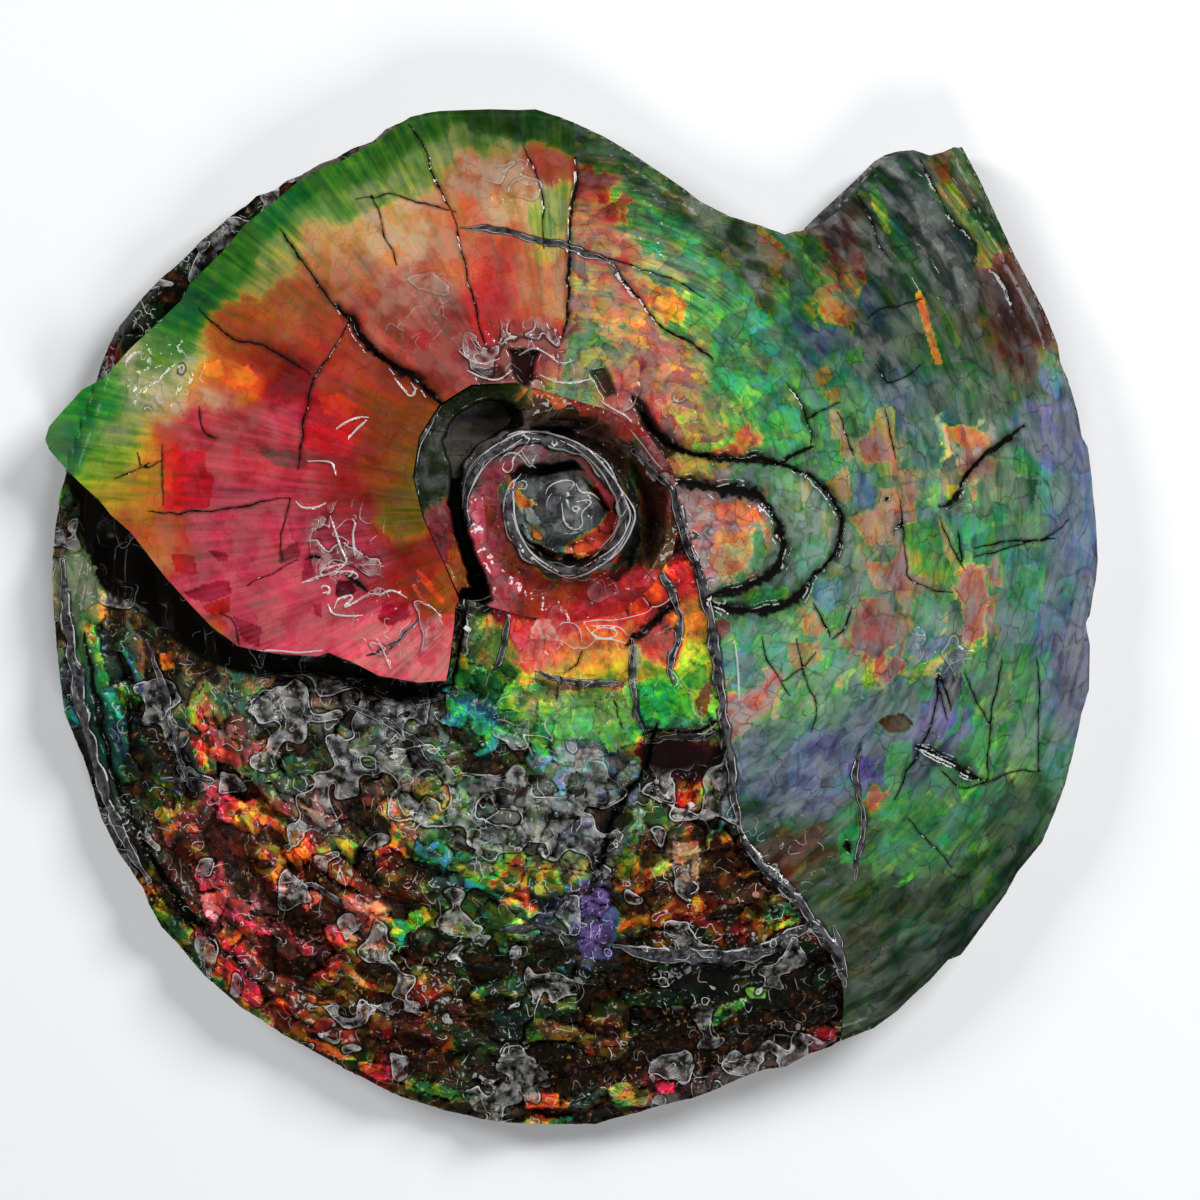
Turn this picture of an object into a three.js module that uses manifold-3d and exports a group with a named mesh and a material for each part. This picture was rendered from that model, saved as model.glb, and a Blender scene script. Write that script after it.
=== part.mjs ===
// Ammolite specimen: a flattened ammonite lying on its ground-flat underside, with its opalised shell up.
//
// The fossil is one solid. It is put together from a body of ironstone that keeps the crushed lower whorl,
// the sheet of shell flank that stands over it, and the umbilicus that is carved into both.
// Units are millimetres, +Z is up, and the origin is at the middle of the underside.

import * as THREE from "three";
import { ImprovedNoise } from "three/addons/math/ImprovedNoise.js";
import { mergeVertices } from "three/addons/utils/BufferGeometryUtils.js";
import Module from "manifold-3d";

// Driving dimensions
const RIM_HEIGHT = 14; // shell flank at the outer rim
const CROWN_RISE = 7.5; // how much higher the flank stands where it is fullest
const CROWN_REACH = 70; // distance from the rim over which it rises
const RIM_ROUNDING = 4; // width of the rounded outer rim
const RIM_FALL = 2.5; // how far that rounding comes down
const SEAM_STEP = 1; // the flank stands this far over the lower whorl along the right seam
const WHORL_DROP_AT_RIM = 4; // further fall of the crushed lower whorl at the rim
const WHORL_DROP_AT_CROWN = 7.5; // and under the fullest part of the flank
const WHORL_DROP_REACH = 85; // distance from the seam over which the lower whorl falls away
const TRENCH_DEPTH = 3; // the lower whorl dips along the foot of the broken flank
const TRENCH_WIDTH = 9;
const LEDGE_PITCH = 10.5; // spacing of the spiral ledges on the crushed whorl
const LEDGE_HEIGHT = 2;
const LEDGE_SLOPE_SHARE = 0.7; // part of the pitch over which a ledge rises before it breaks off
const LUMP_SIZE = 9; // shell lumps between the ledges
const LUMP_HEIGHT = 2.8;
const FLANK_WAVE = 0.9; // slow swell of the flank
const UNDERSIDE_ROUNDING = 4; // height of the rounded lower edge of the ironstone
const UNDERSIDE_TUCK = 3.2; // and how far it draws in
const FLANK_SHEET_FLOOR = 5; // the flank reaches down into the ironstone to here
const FLANK_INSET = 0.5; // the shell edge stays this far inside the ironstone rim
const COIL_REACH = 43; // clears the border of the umbilicus
const PLUG_SCALE = 0.98; // the solid ground of the umbilicus stays just inside that border
const PLUG_TOP = 24;
const CARVING_FLOOR = 2; // the umbilicus ground and its carving start here
const CARVING_TOP = 40; // cutting bodies reach up to here, clear of the fossil
const BAND_TAPER = 0.5; // how bluntly cracks and veins run out at their ends
const VEIN_ROOT = 3; // veins reach this far into the surface
const CRACK_CLEARANCE = 4; // crack cutters stand this far out of the surface
const COIL_WRINKLE = 0.7; // unevenness of the umbilicus

// Centres of the coil and of the whole disc
const UMBILICUS = new THREE.Vector2(-0.5, 27);
const DISC_CENTRE = new THREE.Vector2(1, 1.5);
const DISC_REACH = 154; // clears the rim in every direction

// Outer rim from the top of the broken mouth, clockwise down the right side, round the bottom and up the left
const OUTER_WHORL = [
  [96.5, 118.5], [107, 99], [114.5, 84], [121.5, 68], [127.5, 45], [131, 30], [132, 14.5], [130, -3],
  [127.5, -23.5], [123.5, -42], [117.5, -56], [108.5, -69], [97.5, -84], [81.5, -98], [67.5, -106],
  [53.5, -112.5], [31, -120], [12, -125], [-3, -127.5], [-23, -126], [-43, -120], [-58, -113],
  [-73, -104], [-91.5, -90], [-103, -77.5], [-111, -62.5], [-118.5, -50], [-122.5, -36], [-127, -23.5],
  [-130, -0.5], [-130.5, 9.5], [-129.5, 23], [-127, 37.5],
];
const SEAM_MEETS_RIM = 15; // rim points above are on the flank, those below on the lower whorl
// The ironstone ledge that shows beside the upper left edge of the flank
const UPPER_LEFT_LEDGE = [
  [-123.5, 47], [-120, 58.5], [-118.5, 63], [-114.5, 72], [-107, 81], [-98, 89.5], [-89, 97],
  [-80.5, 104.5], [-71.5, 109.5], [-63, 114],
];
const TOP_WHORL = [
  [-55.5, 118], [-46.5, 122.5], [-36.5, 126.5], [-20.5, 127.5], [-9, 127.5], [1, 124], [14.5, 116.5],
  [28.5, 107], [39.5, 100.5], [47, 98], [53.5, 96],
];
// The broken mouth, from the notch out to its far corner: at the foot of the break and along its upper edge
const MOUTH_FOOT = [
  [58.5, 98], [62, 101.5], [67, 106], [72, 111], [76, 114.5], [79.5, 116.5], [84.5, 117.5], [89.5, 116],
  [93.5, 117],
];
const MOUTH_EDGE = [
  [58, 96.5], [63.5, 98.5], [69.5, 104.5], [72.5, 108.5], [76, 112.5], [79, 114.5], [84.5, 115.5],
  [89.5, 114.5], [95.5, 116],
];
// The broken edge of the upper flank, from its left tip to the corner below the umbilicus
const BROKEN_EDGE = [
  [-132, 44.5], [-127, 38], [-121.5, 33], [-115, 26], [-105.5, 16], [-95.5, 4], [-90, -2], [-83, -7],
  [-74, -9], [-63, -9.5], [-54, -11], [-48, -14], [-38, -16], [-31, -15.5],
];
const UPPER_LEFT_EDGE = [
  [-130.5, 48], [-125, 54], [-120, 58.5], [-110.5, 67], [-103, 74], [-97, 79.5], [-90.5, 88],
  [-81.5, 98], [-73, 105], [-63, 112.5],
];
// The healed seam between the right flank and the lower whorl, from the umbilicus to the bottom rim
const SEAM = [
  [19.5, 44.5], [23.5, 34.5], [27, 27], [31, 12], [33.5, 4.5], [35, -5.5], [36.5, -15.5], [37.5, -25.5],
  [40.5, -45.5], [42.5, -55.5], [48.5, -63], [54.5, -68], [61, -77], [67, -85.5], [68, -98],
];
// Inner border of the flank, hidden in the carved ground of the umbilicus
const FLANK_INNER_BORDER = [
  [-29, -2], [-26, 8], [-30, 30], [-24, 46], [0, 46],
];
// Border of the carved umbilicus, anticlockwise from the right
const UMBILICUS_BORDER = [
  [27, 26], [25, 37], [18, 47], [8, 52], [-4, 55.5], [-14, 58.5], [-25, 58], [-33, 53], [-38, 45],
  [-39.5, 35], [-37, 25], [-32, 14], [-28, 5], [-21, 3], [-12, 0.5], [0, -1], [12, 1], [20, 8], [25, 16],
];

// Cracks in the flank: route, width and depth
const CRACKS = [
  { width: 2.8, depth: 2.2, route: [[-72.5, 97], [-63, 83], [-55.5, 74.5], [-44, 62.5], [-31.5, 53]] },
  { width: 1.6, depth: 1.4, route: [[-55.5, 73], [-58, 68], [-60.5, 64.5], [-64, 60]] },
  { width: 1.4, depth: 1.2, route: [[-93, 77], [-83, 69], [-71.5, 65], [-65, 61]] },
  { width: 1.5, depth: 1.2, route: [[-41, 123], [-33.5, 109], [-27.5, 92], [-23, 72], [-20.5, 66]] },
  { width: 1.5, depth: 1.2, route: [[1, 114.5], [-0.5, 99.5], [-1, 74.5], [-3, 68]] },
  { width: 1.6, depth: 1.2, route: [[1, 98], [15, 84], [22, 76], [35, 65]] },
  {
    width: 3.4,
    depth: 2,
    route: [[17, 52], [29.5, 41], [44.5, 39.5], [56, 37], [66, 28], [67, 19.5], [61.5, 12], [46, 1.5]],
  },
  { width: 2.6, depth: 1.8, route: [[24, 36.5], [43.5, 32], [49.5, 27], [52.5, 19.5], [50, 11], [41, 8]] },
];
const WHORL_CRACK = {
  width: 2.4,
  depth: 1.6,
  route: [[17, -40.5], [12, -45.5], [8.5, -53], [6, -60.5], [4.5, -68]],
};
// Veins that stand proud of the surface they run on
const VEINS = [
  {
    width: 2.6,
    height: 0.8,
    surface: flankHeight,
    route: [
      [27, 27], [31, 12], [35, -5.5], [36.5, -15.5], [37.5, -25.5], [40.5, -45.5], [42.5, -55.5],
      [48.5, -63], [54.5, -68], [61, -77], [67, -85.5],
    ],
  },
  {
    width: 3.4,
    height: 1.2,
    surface: whorlHeight,
    route: [[11, -82], [27, -84], [44.5, -83.5], [54.5, -78.5], [62, -76.5]],
  },
  {
    width: 2,
    height: 0.8,
    surface: whorlHeight,
    route: [[21, 14.5], [27.5, 2], [27.5, -6], [23.5, -15.5]],
  },
];

// Height of the umbilicus by distance from its centre: common middle, then toward the groove on the right,
// the pocket on the left and the whorl below
const COIL_CENTRE = [
  [0, 16.5], [6, 16], [7.5, 14.5], [9, 12.5], [12, 12.5], [13.5, 15.5], [15.8, 18], [17, 17],
];
const GROOVE_SIDE = [...COIL_CENTRE, [18, 13], [20, 11.5], [22.5, 13], [25, 19], [30, 20.8]];
const POCKET_SIDE = [...COIL_CENTRE, [18, 15], [22, 15], [25.5, 16.5], [27.5, 9.5], [42, 8.5]];
const WHORL_SIDE = [...COIL_CENTRE, [18, 15], [22, 15.5], [26, 16.5], [30, 17.3]];
const GROOVE_DIRECTION = THREE.MathUtils.degToRad(35);
const POCKET_DIRECTION = THREE.MathUtils.degToRad(170);
// Each side fades in between these cosines of the angle away from its direction
const GROOVE_SPREAD = [-0.05, 0.3];
const POCKET_SPREAD = [0.5, 0.75];

// Mesh fineness
const WHORL_SECTORS = 96;
const WHORL_RING = 3.8;
const FLANK_SECTORS = 48;
const FLANK_RING = 9;
const COIL_SECTORS = 52;
const COIL_RING = 2.3;
const RIM_POINTS_PER_SPAN = 2;
const SAME_CORNER = 0.3; // outline points closer than this are one

const wasm = await Module();
wasm.setup();
const noise = new ImprovedNoise();

function asPoints(pairs) {
  return pairs.map(([x, y]) => new THREE.Vector2(x, y));
}

function smoothLine(pairs) {
  return new THREE.SplineCurve(asPoints(pairs)).getPoints((pairs.length - 1) * RIM_POINTS_PER_SPAN);
}

// Joins lines end to end into one closed outline, leaving out doubled corners
function closedOutline(...lines) {
  const outline = [];
  for (const point of lines.flat()) {
    const last = outline[outline.length - 1];
    if (!last || last.distanceTo(point) > SAME_CORNER) outline.push(point);
  }
  return outline;
}

const rimOutline = closedOutline(
  smoothLine([...OUTER_WHORL, ...UPPER_LEFT_LEDGE, ...TOP_WHORL]),
  asPoints(MOUTH_FOOT),
);
const flankOutline = closedOutline(
  smoothLine(OUTER_WHORL.slice(0, SEAM_MEETS_RIM)),
  smoothLine([...SEAM].reverse()),
  asPoints([...FLANK_INNER_BORDER].reverse()),
  smoothLine([...BROKEN_EDGE].reverse()),
  smoothLine([...UPPER_LEFT_EDGE, ...TOP_WHORL]),
  asPoints(MOUTH_EDGE),
);
const brokenEdge = smoothLine(BROKEN_EDGE);
const seam = smoothLine(SEAM);

function distanceToLine(x, y, line, closed = false) {
  const point = new THREE.Vector3(x, y, 0);
  const nearest = new THREE.Vector3();
  const span = new THREE.Line3();
  let least = Infinity;
  for (let i = 0; i < line.length - (closed ? 0 : 1); i++) {
    const next = line[(i + 1) % line.length];
    span.start.set(line[i].x, line[i].y, 0);
    span.end.set(next.x, next.y, 0);
    least = Math.min(least, span.closestPointToPoint(point, true, nearest).distanceTo(point));
  }
  return least;
}

function crownShare(rimDistance) {
  return 1 - (1 - Math.min(rimDistance / CROWN_REACH, 1)) ** 2;
}

function rimRounding(rimDistance) {
  return RIM_FALL * (1 - Math.min(rimDistance / RIM_ROUNDING, 1)) ** 2;
}

function flankHeight(x, y) {
  const rimDistance = distanceToLine(x, y, rimOutline, true);
  const swell = FLANK_WAVE * noise.noise(x / 30, y / 30, 0);
  return RIM_HEIGHT + CROWN_RISE * crownShare(rimDistance) - rimRounding(rimDistance) + swell;
}

// Ledges run round the disc. Each rises slowly outwards and breaks off short.
function ledgeHeight(x, y) {
  const radius = Math.hypot(x - DISC_CENTRE.x, y - DISC_CENTRE.y) + 2 * noise.noise(x / 18, y / 18, 5);
  const share = (radius / LEDGE_PITCH) % 1;
  const slope = share / LEDGE_SLOPE_SHARE;
  const breakOff = (1 - share) / (1 - LEDGE_SLOPE_SHARE);
  return LEDGE_HEIGHT * Math.min(slope, breakOff);
}

function whorlHeight(x, y) {
  const rimDistance = distanceToLine(x, y, rimOutline, true);
  const crown = crownShare(rimDistance);
  const fall = THREE.MathUtils.smoothstep(distanceToLine(x, y, seam), 0, WHORL_DROP_REACH);
  const drop = SEAM_STEP + fall * THREE.MathUtils.lerp(WHORL_DROP_AT_RIM, WHORL_DROP_AT_CROWN, crown);
  const trench = TRENCH_DEPTH * Math.exp(-((distanceToLine(x, y, brokenEdge) / TRENCH_WIDTH) ** 2));
  const crushed = fall * (ledgeHeight(x, y) + LUMP_HEIGHT * noise.noise(x / LUMP_SIZE, y / LUMP_SIZE, 9));
  return RIM_HEIGHT + CROWN_RISE * crown - drop - trench + crushed - rimRounding(rimDistance);
}

function heightOnProfile(profile, radius) {
  const after = profile.findIndex(([r]) => r >= radius);
  if (after < 0) return profile[profile.length - 1][1];
  if (after === 0) return profile[0][1];
  const [r0, z0] = profile[after - 1];
  const [r1, z1] = profile[after];
  return THREE.MathUtils.mapLinear(radius, r0, r1, z0, z1);
}

function umbilicusHeight(x, y) {
  const radius = Math.hypot(x - UMBILICUS.x, y - UMBILICUS.y);
  const angle = Math.atan2(y - UMBILICUS.y, x - UMBILICUS.x);
  const toGroove = THREE.MathUtils.smoothstep(Math.cos(angle - GROOVE_DIRECTION), ...GROOVE_SPREAD);
  const toPocket = THREE.MathUtils.smoothstep(Math.cos(angle - POCKET_DIRECTION), ...POCKET_SPREAD);
  const whorlSide = heightOnProfile(WHORL_SIDE, radius);
  const groove = toGroove * (heightOnProfile(GROOVE_SIDE, radius) - whorlSide);
  const pocket = toPocket * (heightOnProfile(POCKET_SIDE, radius) - whorlSide);
  return whorlSide + groove + pocket + COIL_WRINKLE * noise.noise(x / 4, y / 4, 3);
}

function asSolid(geometry) {
  const bare = geometry.clone();
  bare.deleteAttribute("normal");
  bare.deleteAttribute("uv");
  const merged = mergeVertices(bare, 1e-4);
  const mesh = new wasm.Mesh({
    numProp: 3,
    vertProperties: merged.attributes.position.array,
    triVerts: merged.index.array,
  });
  return new wasm.Manifold(mesh);
}

function asGeometry(solid) {
  const { vertProperties, triVerts } = solid.getMesh();
  const geometry = new THREE.BufferGeometry();
  geometry.setAttribute("position", new THREE.BufferAttribute(vertProperties, 3));
  geometry.setIndex(new THREE.BufferAttribute(triVerts, 1));
  geometry.computeVertexNormals();
  return geometry;
}

// Moves every vertex of a geometry up or down by the height that the surface has there
function drape(geometry, shouldMove, heightAt) {
  const position = geometry.attributes.position;
  for (let i = 0; i < position.count; i++) {
    if (shouldMove(position.getZ(i))) {
      position.setZ(i, position.getZ(i) + heightAt(position.getX(i), position.getY(i)));
    }
  }
  return geometry;
}

// A turned disc with many rings on the face at height 0, which then takes the relief
function reliefDisc({ centre, reach, ring, sectors, plainFace, heightAt }) {
  const rings = Math.round(reach / ring);
  const reliefFace = Array.from({ length: rings + 1 }, (_, i) => new THREE.Vector2((reach * i) / rings, 0));
  const plainCorner = new THREE.Vector2(reach, plainFace);
  const profile = [...reliefFace, plainCorner, new THREE.Vector2(0, plainFace)];
  if (plainFace < 0) profile.reverse();
  const disc = new THREE.LatheGeometry(profile, sectors);
  disc.rotateX(Math.PI / 2);
  disc.translate(centre.x, centre.y, 0);
  return disc;
}

function prism(outline, bottom, top) {
  const geometry = new THREE.ExtrudeGeometry(new THREE.Shape(outline), {
    depth: top - bottom,
    bevelEnabled: false,
  });
  return asSolid(geometry.translate(0, 0, bottom));
}

// The ironstone body: flat underside with a rounded edge, crushed whorl on top
function ironstoneBody() {
  const disc = reliefDisc({
    centre: DISC_CENTRE,
    reach: DISC_REACH,
    ring: WHORL_RING,
    sectors: WHORL_SECTORS,
    plainFace: -1,
  });
  const relief = drape(disc, (z) => z > -0.5, whorlHeight);
  const walls = new THREE.ExtrudeGeometry(new THREE.Shape(rimOutline), {
    depth: CARVING_TOP,
    bevelThickness: UNDERSIDE_ROUNDING,
    bevelSize: UNDERSIDE_TUCK,
    bevelOffset: -UNDERSIDE_TUCK,
    bevelSegments: 2,
  });
  walls.translate(0, 0, UNDERSIDE_ROUNDING);
  return asSolid(relief).intersect(asSolid(walls));
}

// The shell flank: its own outline, with the broken edge standing over the crushed whorl
function flankSheet() {
  const disc = reliefDisc({
    centre: DISC_CENTRE,
    reach: DISC_REACH,
    ring: FLANK_RING,
    sectors: FLANK_SECTORS,
    plainFace: -1,
  });
  const relief = drape(disc, (z) => z > -0.5, flankHeight);
  const inset = 1 - FLANK_INSET / DISC_REACH;
  const outline = flankOutline.map((point) => point.clone().multiplyScalar(inset));
  return asSolid(relief).intersect(prism(outline, FLANK_SHEET_FLOOR, CARVING_TOP));
}

// What is taken out above the umbilicus: everything over its relief, inside its border
function umbilicusCarving() {
  const disc = reliefDisc({
    centre: UMBILICUS,
    reach: COIL_REACH,
    ring: COIL_RING,
    sectors: COIL_SECTORS,
    plainFace: CARVING_TOP,
  });
  const relief = drape(disc, (z) => z < 0.5, umbilicusHeight);
  const border = smoothLine([...UMBILICUS_BORDER, UMBILICUS_BORDER[0]]);
  return asSolid(relief).intersect(prism(border, CARVING_FLOOR, CARVING_TOP));
}

function umbilicusGround() {
  const outline = UMBILICUS_BORDER.map(([x, y]) => {
    const point = new THREE.Vector2(x, y).sub(UMBILICUS);
    return point.multiplyScalar(PLUG_SCALE).add(UMBILICUS);
  });
  return prism(outline, CARVING_FLOOR, PLUG_TOP);
}

// A tapered band along a route that follows the surface, from a depth below it to a height above it
function band(route, width, below, above, heightAt) {
  const line = new THREE.SplineCurve(asPoints(route)).getPoints(route.length * 2);
  const left = [];
  const right = [];
  line.forEach((point, i) => {
    const before = line[Math.max(i - 1, 0)];
    const after = line[Math.min(i + 1, line.length - 1)];
    const across = after.clone().sub(before).normalize();
    const taper = Math.sin((Math.PI * (i + 0.5)) / line.length) ** BAND_TAPER;
    const offset = new THREE.Vector2(-across.y, across.x).multiplyScalar((width / 2) * taper);
    left.push(point.clone().add(offset));
    right.push(point.clone().sub(offset));
  });
  const geometry = new THREE.ExtrudeGeometry(new THREE.Shape([...right, ...left.reverse()]), {
    depth: below + above,
    bevelEnabled: false,
  });
  geometry.translate(0, 0, -below);
  return asSolid(drape(geometry, () => true, heightAt));
}

function makeFossil() {
  let solid = ironstoneBody().add(flankSheet()).add(umbilicusGround()).subtract(umbilicusCarving());
  for (const { route, width, height, surface } of VEINS) {
    solid = solid.add(band(route, width, VEIN_ROOT, height, surface));
  }
  for (const { route, width, depth } of CRACKS) {
    solid = solid.subtract(band(route, width, depth, CRACK_CLEARANCE, flankHeight));
  }
  const { route, width, depth } = WHORL_CRACK;
  solid = solid.subtract(band(route, width, depth, CRACK_CLEARANCE, whorlHeight));
  return asGeometry(solid);
}

const shellMaterial = new THREE.MeshStandardMaterial({
  color: 0x3f5a33,
  roughness: 0.28,
  metalness: 0,
});

const fossil = new THREE.Mesh(makeFossil(), shellMaterial);
fossil.name = "ammonite_fossil";

const group = new THREE.Group();
group.add(fossil);

export default group;
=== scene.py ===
"""Dress of the ammolite specimen: relief, iridescent shell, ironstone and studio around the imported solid.

The specimen is drawn on a plan of quarter-millimetre squares, counted from the plan's top left corner.
Every route and patch below is given in plan squares. Every other size is in millimetres.
"""

import logging
import math
from dataclasses import dataclass, field
from enum import Enum
from typing import Callable, Optional, Sequence

import bpy
import numpy as np
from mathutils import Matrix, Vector
from mathutils.geometry import tessellate_polygon


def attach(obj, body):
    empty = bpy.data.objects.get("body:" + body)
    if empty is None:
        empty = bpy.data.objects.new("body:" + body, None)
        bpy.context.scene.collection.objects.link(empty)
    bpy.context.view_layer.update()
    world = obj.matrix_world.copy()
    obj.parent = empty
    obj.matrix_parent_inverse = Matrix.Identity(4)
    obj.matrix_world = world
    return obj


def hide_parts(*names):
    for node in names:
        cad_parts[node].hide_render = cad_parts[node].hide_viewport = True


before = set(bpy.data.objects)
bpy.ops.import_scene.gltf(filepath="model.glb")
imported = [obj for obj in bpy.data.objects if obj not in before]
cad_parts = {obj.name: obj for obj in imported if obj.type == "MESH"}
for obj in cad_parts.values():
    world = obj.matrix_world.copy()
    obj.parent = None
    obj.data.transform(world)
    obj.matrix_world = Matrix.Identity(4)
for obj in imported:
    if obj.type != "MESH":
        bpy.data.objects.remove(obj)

LOG = logging.getLogger("ammolite")
NODE = "ammonite_fossil"
BODY = "root"
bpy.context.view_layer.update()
MM = 0.001

PLAN_SQUARE = 0.25
PLAN_ORIGIN = (571.5, 618.0)

Route = Sequence[tuple[float, float]]
Array = np.ndarray
Colour = tuple[float, float, float, float]
Height = Callable[[Array, Array], Array]

# Driving sizes of the solid, repeated here in millimetres
RIM_HEIGHT = 14.0
CROWN_RISE = 7.5
CROWN_REACH = 70.0
RIM_ROUNDING = 4.0
RIM_FALL = 2.5
SEAM_STEP = 1.0
WHORL_DROP_AT_RIM = 4.0
WHORL_DROP_AT_CROWN = 7.5
WHORL_DROP_REACH = 85.0
TRENCH_DEPTH = 3.0
TRENCH_WIDTH = 9.0
LEDGE_PITCH = 10.5
TOP_LIMIT = 22.4
UMBILICUS = (-0.5, 27.0)
DISC_CENTRE = (1.0, 1.5)
HAIRLINE = 1.1


def route(text: str) -> Route:
    """Reads a line on the plan, written as x,y pairs with spaces between them."""
    return tuple((float(x), float(y)) for x, y in (pair.split(",") for pair in text.split()))


# Outlines and main lines of the specimen, in plan squares
OUTER_WHORL = route(
    "962,147 980,180 1000,223 1015,255 1030,283 1045,312 1058,345 1060,362 1068,380 1077,410 1082,437 "
    "1088,447 1092,478 1096,520 1098,560 1096,580 1090,615 1086,623 1090,645 1089,690 1082,712 1075,745 "
    "1065,785 1055,812 1042,843 1018,872 1006,894 998,905 961,955 948,960 930,980 910,998 897,1011 "
    "874,1028 841,1041"
)
LOWER_RIM = route(
    "841,1041 830,1048 810,1054 785,1068 765,1070 745,1077 710,1093 695,1099 665,1106 620,1119 595,1127 "
    "560,1127 520,1125 480,1121 440,1112 400,1099 360,1078 340,1069 300,1046 280,1035 260,1020 240,1008 "
    "205,978 180,950 160,928 147,903 142,890 127,868 115,852 98,818 90,788 82,762 72,738 63,712 60,690 "
    "56,660 52,620 50,580 51,555 53,525 58,492 64,468"
)
LEDGE_RIM = route(
    "80,425 92,388 98,366 106,345 113,330 122,320 132,308 143,295 160,277 180,260 200,240 215,229 230,214 "
    "250,200 255,195 275,189 285,180 300,173 320,161 335,156 350,148 372,140"
)
TOP_RIM = route(
    "385,128 398,122 410,117 425,113 440,111 490,109 518,110 535,109 560,117 575,123 605,137 630,152 "
    "660,172 685,189 700,201 730,216 760,225 785,234 795,231"
)
MOUTH_FOOT = route(
    "805,227 820,212 840,194 860,175 875,160 885,154 900,150 915,149 930,154 945,150 957,145"
)
MOUTH_EDGE = route(
    "803,231 825,222 840,209 850,198 862,183 875,168 886,158 900,153 915,151 930,156 945,152 955,148"
)
BROKEN_EDGE = route(
    "46,440 50,450 64,467 85,487 100,500 112,515 133,533 150,555 168,578 190,602 212,625 240,646 275,653 "
    "320,656 330,652 355,662 380,675 420,682 447,680"
)
BROKEN_CORNER = route(
    "447,680 450,665 455,625 456,607 460,600"
)
UPPER_LEFT_EDGE = route(
    "46,440 50,427 60,415 72,402 82,390 92,384 105,378 130,350 160,322 183,300 190,285 210,265 230,245 "
    "245,225 280,198 300,180 320,168 345,160 385,135"
)
SEAM = route(
    "650,440 665,480 680,510 695,570 705,600 712,640 718,680 722,720 728,760 733,800 742,840 765,870 "
    "790,890 815,925 840,960 843,1000 841,1041"
)
COIL_BORDER = route(
    "680,514 672,470 644,430 604,410 556,396 516,384 472,386 440,406 420,438 414,478 424,518 444,562 "
    "460,598 488,606 524,616 572,622 620,614 652,586 672,554"
)


class Hue(Enum):
    """Colours of the shell film, as places on one interference ramp from thin to thick."""

    VIOLET = 0.02
    INDIGO = 0.12
    BLUE = 0.21
    CYAN = 0.31
    TEAL = 0.38
    GREEN = 0.46
    LEAF = 0.52
    LIME = 0.58
    YELLOW = 0.65
    AMBER = 0.71
    ORANGE = 0.77
    VERMILION = 0.84
    RED = 0.90
    CRIMSON = 0.96
    ROSE = 1.0


(
    VIOLET, INDIGO, BLUE, CYAN, TEAL, GREEN, LEAF, LIME, YELLOW, AMBER, ORANGE, VERMILION, RED, CRIMSON, ROSE
) = Hue


@dataclass(frozen=True)
class Patch:
    """One soft oval of shell colour on the plan."""

    x: float
    y: float
    wide: float
    high: float
    turn: float
    hue: Hue
    glow: float
    cream: float = 0.0
    slate: float = 0.0


@dataclass(frozen=True)
class Groove:
    """A crack, or with a negative depth a raised vein, along a route on the plan."""

    route: Route
    width: float
    depth: float
    vein: float = 0.0
    gap: float = 1.0
    # Share of a painted highlight along the groove
    pale: float = 0.0

    def line(self) -> Array:
        """Its slightly wavy line in millimetres."""
        line = from_plan(self.route)
        for _ in range(2):
            early, late = 0.75 * line[:-1] + 0.25 * line[1:], 0.25 * line[:-1] + 0.75 * line[1:]
            cut = np.stack([early, late], axis=1).reshape(-1, 2)
            line = np.vstack([line[:1], cut, line[-1:]])
        line = densify(line, 1.0)
        sway = [noise(line[:, 0], line[:, 1], 3.5, seed, 2) for seed in (70, 71)]
        return line + (0.15 if self.pale else 0.7) * np.stack(sway, axis=1)


@dataclass(frozen=True)
class Wear:
    """One soft oval of surface state: crumpled, streaked or left whole."""

    x: float
    y: float
    wide: float
    high: float
    turn: float
    crush: float = 0.0
    streak: float = 0.0
    whole: float = 0.0


@dataclass(frozen=True)
class Fragment:
    """One crisp piece of shell with a colour of its own, inside a closed line on the plan."""

    route: Route
    hue: Hue
    glow: float
    cream: float = 0.0
    slate: float = 0.0
    lift: float = 0.0


def patches(*rows: tuple) -> tuple[Patch, ...]:
    """One patch from each row of its values."""
    return tuple(Patch(*row) for row in rows)


def grooves(*rows: tuple) -> tuple[Groove, ...]:
    """One groove from each row: the text of its route, then its other values."""
    return tuple(Groove(route(row[0]), *row[1:]) for row in rows)


def fragments(*rows: tuple) -> tuple[Fragment, ...]:
    """One fragment from each row: the text of its route, then its other values."""
    return tuple(Fragment(route(row[0]), *row[1:]) for row in rows)


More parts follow.
